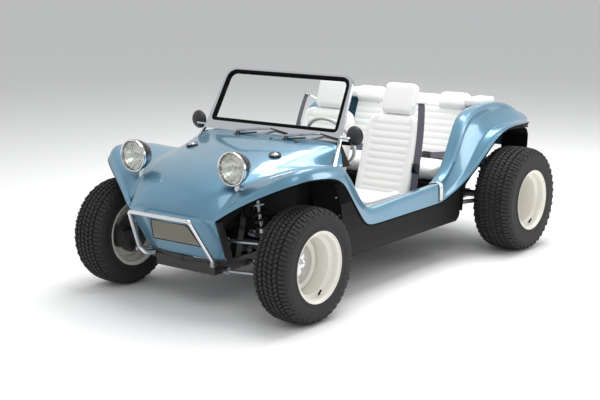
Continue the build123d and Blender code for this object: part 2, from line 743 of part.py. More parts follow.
def grille_outline(inset):
    """The grille's trapezoid, wider at its foot."""
    low = -GRILLE_HEIGHT / 2 + inset
    high = GRILLE_HEIGHT / 2 - inset
    with BuildSketch(GRILLE_PLANE) as outline:
        with BuildLine():
            Polyline(
                (-GRILLE_LOW_HALF + inset, low),
                (GRILLE_LOW_HALF - inset, low),
                (GRILLE_TOP_HALF - inset, high),
                (-GRILLE_TOP_HALF + inset, high),
                close=True,
            )
        make_face()
        fillet(outline.vertices(), 16 - inset)
    return outline.sketch


def skin_run(sections, breaks):
    """A skin lofted in short runs that share the sections at the breaks."""
    with BuildPart() as skin:
        for first, last in zip(breaks, breaks[1:]):
            add(sections[first:last + 1])
            loft()
    return skin.part


with BuildPart() as nose_panel:
    add([hood_section(HOOD_SECTIONS[0]), hood_section(NOSE_LOW_SECTION)])
    loft(ruled=True)
    extrude(grille_outline(0), amount=60, dir=GRILLE_PLANE.z_dir, both=True, mode=Mode.SUBTRACT)
hood_top = skin_run([hood_section(row) for row in HOOD_SECTIONS], (0, 2, 4, 7))
with BuildPart() as hood:
    add(hood_top)
    add(nose_panel.part)
export(hood.part, "hood")

# Body sides: inner edge, crown and lip of each section, wall drop inside the inner edge, belly of the side
# inner x, y, z, crown x, y, z, lip x, y, z, drop, belly
FENDER_SECTIONS = (
    (376, -1440, 640, 420, -1440, 690, 438, -1446, 650, 22, 3),
    (418, -1382, 700, 520, -1370, 760, 542, -1386, 716, 22, 5),
    (458, -1316, 768, 668, -1296, 838, 696, -1304, 786, 25, 7),
    (474, -1240, 806, 728, -1232, 874, 764, -1240, 813, 25, 8),
    (484, -1160, 820, 742, -1160, 886, 776, -1160, 819, 25, 8),
    (526, -940, 824, 740, -960, 868, 772, -985, 800, 25, 8),
    (566, -735, 814, 726, -780, 828, 752, -830, 745, 25, 8),
    (600, -640, 716, 706, -664, 704, 734, -724, 626, 60, 5),
    (600, -535, 570, 692, -545, 560, 712, -600, 500, 120, 3),
    (600, -400, 520, SILL_X, -400, 530, 695, -400, 448, 275, 1),
    (600, -200, 522, SILL_X, -200, 534, 692, -200, 446, 277, 1),
    (600, BODY_JOINT_Y - 0.15, 538, SILL_X, BODY_JOINT_Y - 0.15, 554, 691, BODY_JOINT_Y - 0.15, 419, 293, 1),
)
QUARTER_SECTIONS = (
    (600, BODY_JOINT_Y + 0.15, 538, SILL_X, BODY_JOINT_Y + 0.15, 554, 691, BODY_JOINT_Y + 0.15, 419, 293, 1),
    (600, 425, 590, 682, 425, 592, 697, 425, 440, 300, -4),
    (592, 530, 708, 680, 520, 706, 718, 640, 532, 250, -12),
    (580, 640, 880, 670, 628, 876, 742, 830, 682, 260, -18),
    (560, 740, 968, 652, 725, 970, 764, 965, 804, 260, -22),
    (540, 930, 996, 632, 925, 1004, 780, 1090, 846, 170, -24),
    (526, 1190, 1004, 614, 1190, 1012, 786, 1235, 850, 186, -24),
    (516, 1430, 960, 604, 1415, 968, 762, 1395, 842, 146, -18),
    (508, 1592, 880, 594, 1572, 888, 690, 1545, 824, 84, -8),
)
SIDE_SHARE = 0.4


def side_section(row):
    """One band of a body side: inner wall, top, side and lip, in the plane of its three edge points."""
    inner, crown, lip = Vector(*row[0:3]), Vector(*row[3:6]), Vector(*row[6:9])
    drop, belly = row[9:11]
    plane = Plane(origin=crown, x_dir=crown - inner, z_dir=(inner - crown).cross(lip - crown))
    local_in = plane.to_local_coords(inner)
    local_foot = plane.to_local_coords(inner - Vector(0, 0, drop))
    local_lip = plane.to_local_coords(lip)
    run = Vector(local_lip.X, local_lip.Y).normalized()
    middle = (local_lip.X / 2 - run.Y * belly, local_lip.Y / 2 + run.X * belly)
    foot = (local_foot.X, local_foot.Y)
    points = [foot, (local_in.X, local_in.Y), (0, 0), middle, (local_lip.X, local_lip.Y)]
    return skin_section(plane, points, SIDE_SHARE)


fender_bands = [side_section(row) for row in FENDER_SECTIONS]
quarter_bands = [side_section(row) for row in QUARTER_SECTIONS]
export(both_sides(skin_run(fender_bands, (0, 3, 6, 8, 11))), "front_fenders")
export(both_sides(skin_run(quarter_bands, (0, 2, 4, 6, 8))), "rear_quarters")

# Tail: deck, rounded back and tail panel between the quarters
TAIL_HALF = 496
TAIL_PATH = ((1146.8, 985), (1180, 1002), (1420, 962), (1580, 890), (1600, 800), (1560, 640))
with BuildPart() as tail:
    extrude(side_band(-TAIL_HALF, TAIL_PATH, 0.4, SKIN), amount=2 * TAIL_HALF, dir=(1, 0, 0))
export(tail.part, "tail_panel")

# Floor tray: toe board, floor, rear step, shelf and sloping back, from one folded sheet
TRAY_HALF = 480
TRAY_PATH = ((FIREWALL_Y, 640), (FIREWALL_Y, 251), (BENCH_Y, 251), (BENCH_Y, 498), (935, 498), (1142, 990))
TUNNEL_HALF = 80
TUNNEL_TOP = 345
RISER_INSET = 30
with BuildPart() as tray:
    extrude(side_band(-TRAY_HALF, TRAY_PATH, 0.04, FLOOR_SHEET), amount=2 * TRAY_HALF, dir=(1, 0, 0))
    with BuildSketch(Plane.XY.offset(FLOOR_Z)):
        for side in (-1, 1):
            with Locations((side * (TRAY_HALF + SILL_INNER_X - CLEAR) / 2, (FIREWALL_Y + BENCH_Y) / 2 - 4)):
                Rectangle(SILL_INNER_X - CLEAR - TRAY_HALF, BENCH_Y - FIREWALL_Y - 8)
    extrude(amount=FLOOR_SHEET)
    with BuildSketch(Plane.XY.offset(FLOOR_Z)):
        with Locations((0, (FIREWALL_Y + BENCH_Y) / 2)):
            Rectangle(2 * TUNNEL_HALF, BENCH_Y - FIREWALL_Y)
    extrude(amount=TUNNEL_TOP - FLOOR_Z)
    with BuildSketch(Plane.XY.offset(FLOOR_Z)):
        for side in (-1, 1):
            with Locations((side * SEAT_X, (CUSHION_FRONT_Y + CUSHION_BACK_Y) / 2)):
                Rectangle(SEAT_WIDTH - 2 * RISER_INSET, CUSHION_BACK_Y - CUSHION_FRONT_Y - 2 * RISER_INSET)
    extrude(amount=CUSHION_Z - FLOOR_Z - CLEAR)
export(tray.part, "floor_tray")

# Dash: closes the cowl, with its lower edge above the steering column
DASH_BACK_Y = -528
DASH_LOW_Z = 806
DASH_LEG_X = 558
with BuildPart() as dash:
    with BuildSketch(Plane(origin=(0, COWL_Y + CLEAR, 0), x_dir=(1, 0, 0), z_dir=(0, -1, 0))):
        with BuildLine():
            Polyline(
                (-578, 790), (-506, 924), (0, 938), (506, 924), (578, 790), (552, 790), (500, DASH_LOW_Z),
                (-500, DASH_LOW_Z), (-552, 790), close=True,
            )
        make_face()
    extrude(amount=COWL_Y + CLEAR - DASH_BACK_Y)
    with BuildSketch(Plane.XY.offset(FLOOR_Z + FLOOR_SHEET + CLEAR)):
        for side in (-1, 1):
            with Locations((side * DASH_LEG_X, -640)):
                Rectangle(SKIN, 120)
    extrude(amount=792 - FLOOR_Z - FLOOR_SHEET - CLEAR)
export(dash.part, "dashboard")

# Sill covers below the body sides, and the liners inside the arches
ROCKER_X = 680
ROCKER_TOP = 488
ROCKER_LOW = 250
ROCKER_FRONT_Y = -748 + CLEAR
ROCKER_BACK_Y = 606
ROCKER_WALL = 5
ROCKER_PATH = ((ROCKER_X, ROCKER_TOP), (ROCKER_X, 300), (650, ROCKER_LOW), (SILL_INNER_X + SKIN + CLEAR, ROCKER_LOW))
ROCKER_PLANE = Plane(origin=(0, ROCKER_FRONT_Y, 0), x_dir=(1, 0, 0), z_dir=(0, -1, 0))
rocker_band = skin_section(ROCKER_PLANE, ROCKER_PATH, 0.4, ROCKER_WALL)
with BuildPart() as rocker_left:
    extrude(rocker_band, amount=ROCKER_BACK_Y - ROCKER_FRONT_Y, dir=(0, 1, 0))
export(both_sides(rocker_left.part), "sill_covers")

FRONT_LINER_PATH = ((-838, 735), (-768, 600), (-752, 420), (-748, 262))
REAR_LINER_PATH = ((618, 330), (640, 480), (800, 650), (935, 776), (1080, 815), (1350, 812), (1552, 790), (1530, 610))
LINER = 4


def make_liner(path, x_from, x_to):
    """A black sheet folded along a path and as wide as the arch is deep."""
    with BuildPart() as liner:
        extrude(side_band(x_from, path, 0.4, LINER), amount=x_to - x_from, dir=(1, 0, 0))
    return liner.part


with BuildPart() as liners:
    add(both_sides(make_liner(FRONT_LINER_PATH, 484, 690)))
    add(both_sides(make_liner(REAR_LINER_PATH, TRAY_HALF + CLEAR, 690)))
export(liners.part, "arch_liners")

# Windscreen: a raked frame with a tall foot rail, its seal, the glass and a stay on each side
RAKE = radians(SCREEN_RAKE)
SCREEN_PLANE = Plane(origin=(0, SCREEN_FOOT_Y, 938), x_dir=(1, 0, 0), z_dir=(0, -cos(RAKE), sin(RAKE)))
SCREEN_FOOT_Z = 938 + CLEAR


def screen_outline(half_foot, half_top, foot, top):
    """A screen outline that narrows from its foot to its rounded top."""
    taper = (half_foot - half_top) / SCREEN_HEIGHT
    low = half_foot - taper * foot
    high = half_foot - taper * top
    with BuildSketch(SCREEN_PLANE) as outline:
        with BuildLine():
            Polyline((-low, foot), (low, foot), (high, top), (-high, top), close=True)
        make_face()
        fillet(outline.vertices().sort_by(SCREEN_PLANE.location.y_axis)[-2:], SCREEN_CORNER - SCREEN_HEIGHT + top)
    return outline.sketch


def screen_opening(inset):
    """The frame's opening, drawn in by an inset."""
    return screen_outline(
        SCREEN_OPEN_FOOT - inset, SCREEN_OPEN_TOP - inset, SCREEN_SILL + inset, SCREEN_HEIGHT - SCREEN_RAIL - inset
    )


STAY_TOP = (532, -560, 970)
STAY_FOOT = (574, -690, 804)


def make_stay():
    """A polished stay from the frame's side down to the top of the fender."""
    run = Vector(*STAY_TOP) - Vector(*STAY_FOOT)
    with BuildPart() as stay:
        for place, long, thick in ((STAY_FOOT, 34, 10), (STAY_TOP, 22, 10)):
            with BuildSketch(Plane(origin=place, x_dir=(0, 1, 0), z_dir=run)):
                RectangleRounded(long, thick, 4)
        loft()
    return stay.part


stay_left = make_stay()
frame_outline = screen_outline(SCREEN_HALF_FOOT, SCREEN_HALF_TOP, -30, SCREEN_HEIGHT)
with BuildPart() as screen_frame:
    extrude(frame_outline, amount=SCREEN_DEPTH / 2, dir=SCREEN_PLANE.z_dir, both=True)
    extrude(screen_opening(0), amount=SCREEN_DEPTH, dir=SCREEN_PLANE.z_dir, both=True, mode=Mode.SUBTRACT)
    with BuildSketch(Plane.XY.offset(SCREEN_FOOT_Z - 80)):
        with Locations((0, SCREEN_FOOT_Y)):
            Rectangle(1200, 200)
    extrude(amount=80, mode=Mode.SUBTRACT)
    add(both_sides(stay_left))
export(screen_frame.part, "windscreen_frame")

with BuildPart() as screen_seal:
    extrude(screen_opening(CLEAR), amount=SCREEN_DEPTH / 2 - 3, dir=SCREEN_PLANE.z_dir, both=True)
    extrude(screen_opening(SEAL_WIDTH), amount=SCREEN_DEPTH, dir=SCREEN_PLANE.z_dir, both=True, mode=Mode.SUBTRACT)
export(screen_seal.part, "windscreen_seal")

with BuildPart() as screen_glass:
    extrude(screen_opening(SEAL_WIDTH + CLEAR), amount=GLASS / 2, dir=SCREEN_PLANE.z_dir, both=True)
export(screen_glass.part, "windscreen_glass")

# Headlamps: a bowl on a foot, a chrome rim and a domed lens
LAMP_PLANE = Plane(origin=(LAMP_X, LAMP_Y, LAMP_Z), x_dir=(0, 1, 0), z_dir=(1, 0, 0))
LAMP_AXIS = Axis((LAMP_X, LAMP_Y, LAMP_Z), (0, 1, 0))
LAMP_RIM = 12
LAMP_FOOT_Z = 744
LENS_DOME = 16


def lamp_turning(draw):
    """A turned lamp piece from a function that draws its half profile, depth along the car by radius."""
    with BuildPart() as piece:
        with BuildSketch(LAMP_PLANE):
            with BuildLine():
                draw()
            make_face()
        revolve(axis=LAMP_AXIS)
    return piece.part


def draw_shell():
    """The bowl: open in front, rounded behind."""
    Line((6, LAMP_RADIUS - LAMP_RIM), (6, LAMP_RADIUS - 6))
    ThreePointArc((6, LAMP_RADIUS - 6), (0.68 * LAMP_DEPTH, 0.62 * LAMP_RADIUS), (LAMP_DEPTH, 0))
    Line((LAMP_DEPTH, 0), (LAMP_DEPTH - 5, 0))
    ThreePointArc((LAMP_DEPTH - 5, 0), (0.64 * LAMP_DEPTH, 0.57 * LAMP_RADIUS), (6, LAMP_RADIUS - LAMP_RIM))


def draw_rim():
    """The rim ring round the lens."""
    Polyline(
        (-4, LAMP_RADIUS - LAMP_RIM), (-4, LAMP_RADIUS - 5), (2, LAMP_RADIUS), (14, LAMP_RADIUS), (14, LAMP_RADIUS - 4),
        (5.7, LAMP_RADIUS - 4), (5.7, LAMP_RADIUS - LAMP_RIM), close=True,
    )


def draw_lens():
    """The lens: a shallow dome of even thickness."""
    edge = LAMP_RADIUS - LAMP_RIM - CLEAR
    outer = dome_arc(-2, edge, -LENS_DOME)
    inner = dome_arc(3, edge, -LENS_DOME)
    Line(outer @ 0, inner @ 0)
    Line(outer @ 1, inner @ 1)


lamp_shell = lamp_turning(draw_shell)
with BuildPart() as lamp_left:
    add(lamp_shell)
    with BuildSketch(Plane.XY.offset(LAMP_FOOT_Z)):
        with Locations((LAMP_X, LAMP_Y + 50)):
            Circle(16)
    extrude(amount=LAMP_Z - 0.72 * LAMP_RADIUS - LAMP_FOOT_Z)
export(both_sides(seated(lamp_left.part, hood.part)), "headlamp_shells")
export(both_sides(lamp_turning(draw_rim)), "headlamp_rims")
export(both_sides(lamp_turning(draw_lens)), "headlamp_lenses")

# Black trim below the nose, and the bumper hoop that ends on it
BUMPER_ROUTE = (
    (238, -1372, 304), (264, -1436, 306), (290, -1462, 346), (236, -1590, 588), (-236, -1590, 588),
    (-290, -1462, 346), (-264, -1436, 306), (-238, -1372, 304),
)
TRIM_HEIGHT = 42
with BuildPart() as nose_trim:
    extrude(hood_section(NOSE_LOW_SECTION), amount=TRIM_HEIGHT, dir=(0, 0, -1))
nose_trim.part.position = (0, 0, -CLEAR)
export(nose_trim.part, "nose_trim")
bumper = seated(seated(tube(BUMPER_ROUTE, BUMPER_RADIUS, 24), nose_trim.part), nose_panel.part)
export(bumper, "front_bumper")

# Grille: a border with slanted wires across the opening
GRILLE_BORDER = 10
GRILLE_PITCH = 17
GRILLE_WIRE = 4
with BuildPart() as grille_wires:
    with BuildSketch(GRILLE_PLANE):
        with GridLocations(1, GRILLE_PITCH, 1, int((GRILLE_HEIGHT - GRILLE_BORDER) / GRILLE_PITCH)):
            Rectangle(2 * GRILLE_LOW_HALF, GRILLE_WIRE)
        with GridLocations(GRILLE_PITCH, 1, int(2 * GRILLE_LOW_HALF / GRILLE_PITCH), 1):
            Rectangle(GRILLE_WIRE, GRILLE_HEIGHT)
    extrude(amount=1.5, both=True)
    extrude(grille_outline(GRILLE_BORDER - 1), amount=9, dir=GRILLE_PLANE.z_dir, both=True, mode=Mode.INTERSECT)
with BuildPart() as grille:
    extrude(grille_outline(0.5), amount=3, dir=GRILLE_PLANE.z_dir, both=True)
    extrude(grille_outline(GRILLE_BORDER), amount=4, dir=GRILLE_PLANE.z_dir, both=True, mode=Mode.SUBTRACT)
    add(grille_wires.part)
export(grille.part, "grille")

# Front seats: cushion, back with narrow shoulders, headrest on a flat stem
BACK_FOOT_Y = 196
BACK_LENGTH = 600
SHOULDER_HALF = 150
HEADREST = (232, 186, 84)
LEAN_BACK = radians(BACK_RECLINE)
BACK_PLANE = Plane(
    origin=(SEAT_X, BACK_FOOT_Y, CUSHION_Z),
    x_dir=(1, 0, 0),
    z_dir=(0, -cos(LEAN_BACK), sin(LEAN_BACK)),
)
with BuildPart() as cushion_left:
    with BuildSketch(Plane.XY.offset(CUSHION_Z + CLEAR)):
        with Locations((SEAT_X, (CUSHION_FRONT_Y + BACK_FOOT_Y - 12) / 2)):
            RectangleRounded(SEAT_WIDTH, BACK_FOOT_Y - 12 - CUSHION_FRONT_Y, 50)
    extrude(amount=CUSHION_TOP - CUSHION_Z - CLEAR)
    fillet(cushion_left.faces().sort_by(Axis.Z)[-1].edges(), 34)
export(both_sides(cushion_left.part), "front_seat_cushions")

with BuildPart() as seat_back_left:
    with BuildSketch(BACK_PLANE):
        with BuildLine():
            Polyline(
                (-SEAT_WIDTH / 2 + 6, -60), (SEAT_WIDTH / 2 - 6, -60), (SEAT_WIDTH / 2 - 6, 0.66 * BACK_LENGTH),
                (SHOULDER_HALF, BACK_LENGTH), (-SHOULDER_HALF, BACK_LENGTH), (-SEAT_WIDTH / 2 + 6, 0.66 * BACK_LENGTH),
                close=True,
            )
        make_face()
    extrude(amount=-BACK_THICK)
    fillet(seat_back_left.edges().filter_by(Axis((0, 0, 0), BACK_PLANE.z_dir)), 40)
    with BuildSketch(Plane.XY.offset(CUSHION_Z + CLEAR - 120)):
        with Locations((SEAT_X, BACK_FOOT_Y + 60)):
            Rectangle(600, 400)
    extrude(amount=120, mode=Mode.SUBTRACT)
export(both_sides(seat_back_left.part), "front_seat_backs")

STEM_WIDTH = 110
STEM_THICK = 14
POST_GAP = 14
POST_FOOT = BACK_PLANE.from_local_coords(Vector(0, BACK_LENGTH + CLEAR, -HEADREST[2] / 2))
with BuildPart() as headrest_left:
    with BuildSketch(BACK_PLANE):
        with Locations((0, BACK_LENGTH + POST_GAP + HEADREST[1] / 2)):
            RectangleRounded(HEADREST[0], HEADREST[1], 60)
    extrude(amount=-HEADREST[2])
    fillet(headrest_left.faces().sort_by(BACK_PLANE.location.z_axis)[-1].edges(), 26)
    with BuildSketch(Plane(origin=POST_FOOT, x_dir=(1, 0, 0), z_dir=BACK_PLANE.y_dir)):
        RectangleRounded(STEM_WIDTH, STEM_THICK, STEM_THICK / 3)
    extrude(amount=POST_GAP + 10)
export(both_sides(headrest_left.part), "front_headrests")

# Rear bench: cushion on the shelf, back on the sloping panel, two headrests
SHELF_Z = 498
SHELF_BACK_Y = 935
SHELF_FOLD = 24
BENCH_TOP = 655
SLOPE = atan2(1142 - SHELF_BACK_Y, 990 - SHELF_Z)
BENCH_PLANE = Plane(
    origin=(0, SHELF_BACK_Y - CLEAR, SHELF_Z), x_dir=(1, 0, 0), z_dir=(0, -cos(SLOPE), sin(SLOPE))
)
BENCH_BACK_LOW = 176
BENCH_BACK_TOP = 492
BENCH_BACK_THICK = 105
BENCH_REST_X = 356
BENCH_REST = (214, 122, 86)
with BuildPart() as bench_cushion:
    with BuildSketch(Plane.XY.offset(SHELF_Z + CLEAR)):
        with Locations((0, (BENCH_Y + 7 + SHELF_BACK_Y - SHELF_FOLD) / 2)):
            RectangleRounded(2 * BENCH_HALF - 8, SHELF_BACK_Y - SHELF_FOLD - BENCH_Y - 7, 40)
    extrude(amount=BENCH_TOP - SHELF_Z - CLEAR)
    fillet(bench_cushion.faces().sort_by(Axis.Z)[-1].edges(), 30)
export(bench_cushion.part, "rear_seat_cushion")

with BuildPart() as bench_back:
    with BuildSketch(BENCH_PLANE):
        with Locations((0, (BENCH_BACK_LOW + BENCH_BACK_TOP) / 2)):
            RectangleRounded(2 * BENCH_HALF - 8, BENCH_BACK_TOP - BENCH_BACK_LOW, 50)
    extrude(amount=BENCH_BACK_THICK)
    fillet(bench_back.faces().sort_by(BENCH_PLANE.location.z_axis)[-1].edges(), 28)
export(bench_back.part, "rear_seat_back")

with BuildPart() as bench_rests:
    with BuildSketch(BENCH_PLANE):
        with Locations(
            (-BENCH_REST_X, BENCH_BACK_TOP + CLEAR + BENCH_REST[1] / 2),
            (BENCH_REST_X, BENCH_BACK_TOP + CLEAR + BENCH_REST[1] / 2),
        ):
            RectangleRounded(BENCH_REST[0], BENCH_REST[1], 40)
    extrude(amount=BENCH_REST[2])
export(bench_rests.part, "rear_headrests")

# Seat belts: a strap on the outer side of each front seat back
BELT_WIDTH = 46
BELT = 3
with BuildPart() as belt_left:
    with BuildSketch(Plane(origin=(SEAT_X + SEAT_WIDTH / 2 - 6 + CLEAR, 0, 0), x_dir=(0, 1, 0), z_dir=(1, 0, 0))):
        with BuildLine():
            Polyline(
                (BACK_FOOT_Y + 60, CUSHION_Z + 20), (BACK_FOOT_Y + 60 + BELT_WIDTH, CUSHION_Z + 20),
                (BACK_FOOT_Y + 180 + BELT_WIDTH, CUSHION_Z + 400), (BACK_FOOT_Y + 180, CUSHION_Z + 400), close=True,
            )
        make_face()
    extrude(amount=BELT)
export(both_sides(belt_left.part), "seat_belts")

# Steering wheel with its shaft, and the column that carries it
WHEEL_LEAN = radians(WHEEL_RAKE)
COLUMN_WAY = Vector(0, -cos(WHEEL_LEAN), -sin(WHEEL_LEAN))
WHEEL_PLANE = Plane(origin=WHEEL_CENTRE, x_dir=(1, 0, 0), z_dir=-COLUMN_WAY)
SHAFT_RADIUS = 10
SHAFT_LENGTH = 130
COLUMN_RADIUS = 20
COLUMN_GAP = 46
COLUMN_LENGTH = 360
HUB_BOSS = 34
SPOKE_WIDTH = 26
with BuildPart() as steering_wheel:
    with BuildSketch(Plane(origin=WHEEL_CENTRE, x_dir=(1, 0, 0), z_dir=WHEEL_PLANE.y_dir)):
        with Locations((WHEEL_RADIUS, 0)):
            Circle(WHEEL_RIM)
    revolve(axis=Axis(WHEEL_CENTRE, COLUMN_WAY))
    with BuildSketch(WHEEL_PLANE):
        Circle(HUB_BOSS)
        for angle in (0, 90, 180):
            with Locations(Location((0, 0, 0), (0, 0, angle))):
                with Locations((WHEEL_RADIUS / 2, 0)):
                    Rectangle(WHEEL_RADIUS - 4, SPOKE_WIDTH)
    extrude(amount=3, both=True)
    with BuildSketch(WHEEL_PLANE):
        Circle(HUB_BOSS)
    extrude(amount=16, both=True)
    with BuildSketch(WHEEL_PLANE):
        Circle(SHAFT_RADIUS)
    extrude(amount=-SHAFT_LENGTH)
export(steering_wheel.part, "steering_wheel")

COLUMN_PLANE = Plane(origin=Vector(*WHEEL_CENTRE) + COLUMN_WAY * COLUMN_GAP, x_dir=(1, 0, 0), z_dir=COLUMN_WAY)
with BuildPart() as column:
    with BuildSketch(COLUMN_PLANE):
        Circle(COLUMN_RADIUS)
        Circle(SHAFT_RADIUS + RUNNING_FIT, mode=Mode.SUBTRACT)
    extrude(amount=COLUMN_LENGTH)
    with BuildSketch(Plane.XY.offset(DASH_LOW_Z - CLEAR)):
        with Locations((WHEEL_X, DASH_BACK_Y - 30)):
            Rectangle(50, 30)
    extrude(amount=-34)
export(column.part, "steering_column")

# Mirrors: a dome-backed round head on a short arm from the screen's stay
MIRROR = (625, -543, 978)
MIRROR_RADIUS = 60
MIRROR_DEPTH = 42
with BuildPart() as mirror_left:
    with BuildSketch(Plane(origin=MIRROR, x_dir=(0, 1, 0), z_dir=(1, 0, 0))):
        with BuildLine():
            Line((0, 0), (0, MIRROR_RADIUS))
            Line((0, MIRROR_RADIUS), (-10, MIRROR_RADIUS))
            dome_arc(-10, MIRROR_RADIUS, 10 - MIRROR_DEPTH)
            Line((-MIRROR_DEPTH, 0), (0, 0))
        make_face()
    revolve(axis=Axis(MIRROR, (0, 1, 0)))
export(both_sides(mirror_left.part), "mirror_heads")

arm_tip = (MIRROR[0] - 13, MIRROR[1] - 33, MIRROR[2] - 10)
arm_bar = tube(((532, -569, 957), (598, -593, 964), arm_tip), 6, 8)
export(both_sides(seated(seated(arm_bar, screen_frame.part), mirror_left.part)), "mirror_arms")

# Wipers: a spindle, an arm and a blade lying at the foot of the screen
WIPER_X = 193
WIPER_Y = -664
WIPER_Z = 934
WIPER_REACH = 300


def make_wiper(x):
    """A wiper on its spindle, cut off at the cowl."""
    with BuildPart() as wiper:
        with BuildSketch(Plane.XY.offset(WIPER_Z - 20)):
            with Locations((x, WIPER_Y)):
                Circle(11)
        extrude(amount=42)
        with BuildSketch(Plane.XY.offset(WIPER_Z + 13)):
            with Locations((x + WIPER_REACH / 2 - 60, WIPER_Y)):
                Rectangle(WIPER_REACH, 9)
        extrude(amount=6)
    return seated(wiper.part, hood.part)


with BuildPart() as wipers:
    add([make_wiper(-WIPER_X), make_wiper(WIPER_X)])
export(wipers.part, "wipers")

# Tail lamps on the tail panel
TAIL_LAMP_X = 330
TAIL_LAMP_RADIUS = 44
TAIL_LAMP_DEPTH = 16
tail_run = Vector(0, TAIL_PATH[5][0] - TAIL_PATH[4][0], TAIL_PATH[5][1] - TAIL_PATH[4][1]).normalized()
tail_out = Vector(0, -tail_run.Z, tail_run.Y)
tail_spot = Vector(0, TAIL_PATH[4][0], TAIL_PATH[4][1]) + tail_run * 92 + tail_out * CLEAR
with BuildPart() as tail_lamps:
    with BuildSketch(Plane(origin=tail_spot, x_dir=(-1, 0, 0), z_dir=tail_out)):
        with Locations((-TAIL_LAMP_X, 0), (TAIL_LAMP_X, 0)):
            Circle(TAIL_LAMP_RADIUS)
    extrude(amount=TAIL_LAMP_DEPTH)
    fillet(tail_lamps.edges().filter_by(GeomType.CIRCLE).sort_by(Axis.Y)[-2:], 6)
export(tail_lamps.part, "tail_lamps")
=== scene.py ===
"""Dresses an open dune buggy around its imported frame: body, wheels, lamps, seats, trim and a stage."""
import math

import bpy
from mathutils import Matrix, Vector


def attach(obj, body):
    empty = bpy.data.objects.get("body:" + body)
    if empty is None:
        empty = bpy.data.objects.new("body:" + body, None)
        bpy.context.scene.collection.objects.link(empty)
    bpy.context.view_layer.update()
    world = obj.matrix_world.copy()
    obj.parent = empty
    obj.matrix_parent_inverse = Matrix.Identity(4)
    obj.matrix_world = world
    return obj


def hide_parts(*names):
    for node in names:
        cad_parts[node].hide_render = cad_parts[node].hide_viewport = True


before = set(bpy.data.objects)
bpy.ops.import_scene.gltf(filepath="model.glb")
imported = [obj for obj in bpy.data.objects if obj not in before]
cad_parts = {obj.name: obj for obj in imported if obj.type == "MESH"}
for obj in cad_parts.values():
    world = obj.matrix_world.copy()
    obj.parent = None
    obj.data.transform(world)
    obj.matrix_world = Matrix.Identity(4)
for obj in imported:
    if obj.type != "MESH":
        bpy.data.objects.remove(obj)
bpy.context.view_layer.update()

bl_info = {
    "name": "Dune buggy",
    "version": (1, 0, 0),
    "blender": (4, 5, 0),
    "location": "View3D > Sidebar > Buggy",
    "description": "Models the visible pieces of an open dune buggy around its packed frame",
    "category": "Add Mesh",
}

MM = 0.001
SIDES = (1, -1)
AHEAD = (0, -1, 0)
UP = (0, 0, 1)
# Gaps that close, in metres: between a piece's own points, and where halves and panels meet
WELD = 0.00005
SEAM = 0.0005


def linear(code):
    """Linear red, green and blue of an sRGB hex value."""
    shares = [int(code[i : i + 2], 16) / 255 for i in (1, 3, 5)]
    return tuple(s / 12.92 if s <= 0.04045 else ((s + 0.055) / 1.055) ** 2.4 for s in shares)


def tint(name, description, code):
    """A colour that a user can change."""
    return bpy.props.FloatVectorProperty(
        name=name, description=description, subtype="COLOR", size=3, min=0, max=1, default=linear(code)
    )


def span(name, description, default):
    """A length in metres that a user can change."""
    return bpy.props.FloatProperty(name=name, description=description, unit="LENGTH", min=0, default=default)


class BuggyColours(bpy.types.PropertyGroup):
    """Colours of the finishes."""

    paint: tint("Paint", "Body paint below its lacquer", "#6293ad")
    enamel: tint("Wheel enamel", "Stoved enamel on the rims", "#ebe8de")
    vinyl: tint("Seat vinyl", "Seat covers", "#f1f1ef")
    webbing: tint("Webbing", "Seat belts", "#62606e")
    rubber: tint("Rubber", "Tyres", "#303030")
    black: tint("Black plastic", "Liners, sills and trim", "#131415")
    mesh: tint("Grille wire", "Woven wire of the grille", "#b9b3a6")
    lens: tint("Tail lens", "Rear lamp lenses", "#8c0f10")


class BuggySizes(bpy.types.PropertyGroup):
    """Sizes of the visible detail."""

    skin: span("Skin", "Thickness of the body shell", 0.006)
    tread_depth: span("Tread depth", "Height of the tyre blocks", 0.011)
    rib_pitch: span("Rib pitch", "Spacing of the welded ribs on the seats", 0.048)
    rib_depth: span("Rib depth", "Depth of the welded ribs on the seats", 0.006)
    edging: span("Edging", "Radius of the dark edging along the fender lips", 0.0045)
    wire: span("Grille wire", "Radius of the grille's wires", 0.0014)
    wire_pitch: span("Grille pitch", "Spacing of the grille's wires", 0.007)


def colours():
    """The colours in use."""
    return bpy.context.scene.buggy_colours


def sizes():
    """The sizes in use."""
    return bpy.context.scene.buggy_sizes


# Shaping


def deselect():
    """Leaves edit mode and selects nothing."""
    if bpy.context.object and bpy.context.object.mode != "OBJECT":
        bpy.ops.object.mode_set(mode="OBJECT")
    bpy.ops.object.select_all(action="DESELECT")


def pick(piece):
    """Makes a piece the one selected and active object."""
    deselect()
    piece.select_set(True)
    bpy.context.view_layer.objects.active = piece


def named(name):
    """Names the object that an operator has just added."""
    piece = bpy.context.object
    piece.name = name
    piece.data.name = name
    return piece


def edit_all(piece):
    """Opens a piece for editing with all of it selected."""
    pick(piece)
    bpy.ops.object.mode_set(mode="EDIT")
    bpy.ops.mesh.select_all(action="SELECT")


def merge(piece, gap=WELD):
    """Closes seams and turns all faces outwards."""
    edit_all(piece)
    bpy.ops.mesh.remove_doubles(threshold=gap)
    bpy.ops.mesh.dissolve_degenerate(threshold=gap)
    bpy.ops.mesh.select_all(action="SELECT")
    bpy.ops.mesh.normals_make_consistent(inside=False)
    bpy.ops.object.mode_set(mode="OBJECT")


def cap_ends(piece):
    """Closes the open ends of a tube of faces."""
    edit_all(piece)
    bpy.ops.mesh.fill_holes(sides=0)
    bpy.ops.object.mode_set(mode="OBJECT")
    merge(piece)


def modify(piece, kind, **settings):
    """Adds a modifier and applies it."""
    modifier = piece.modifiers.new(kind.title(), kind)
    for key, value in settings.items():
        setattr(modifier, key, value)
    pick(piece)
    bpy.ops.object.modifier_apply(modifier=modifier.name)


def smooth(piece, levels):
    """Rounds a cage of faces into a smooth surface."""
    modify(piece, "SUBSURF", levels=levels, render_levels=levels)


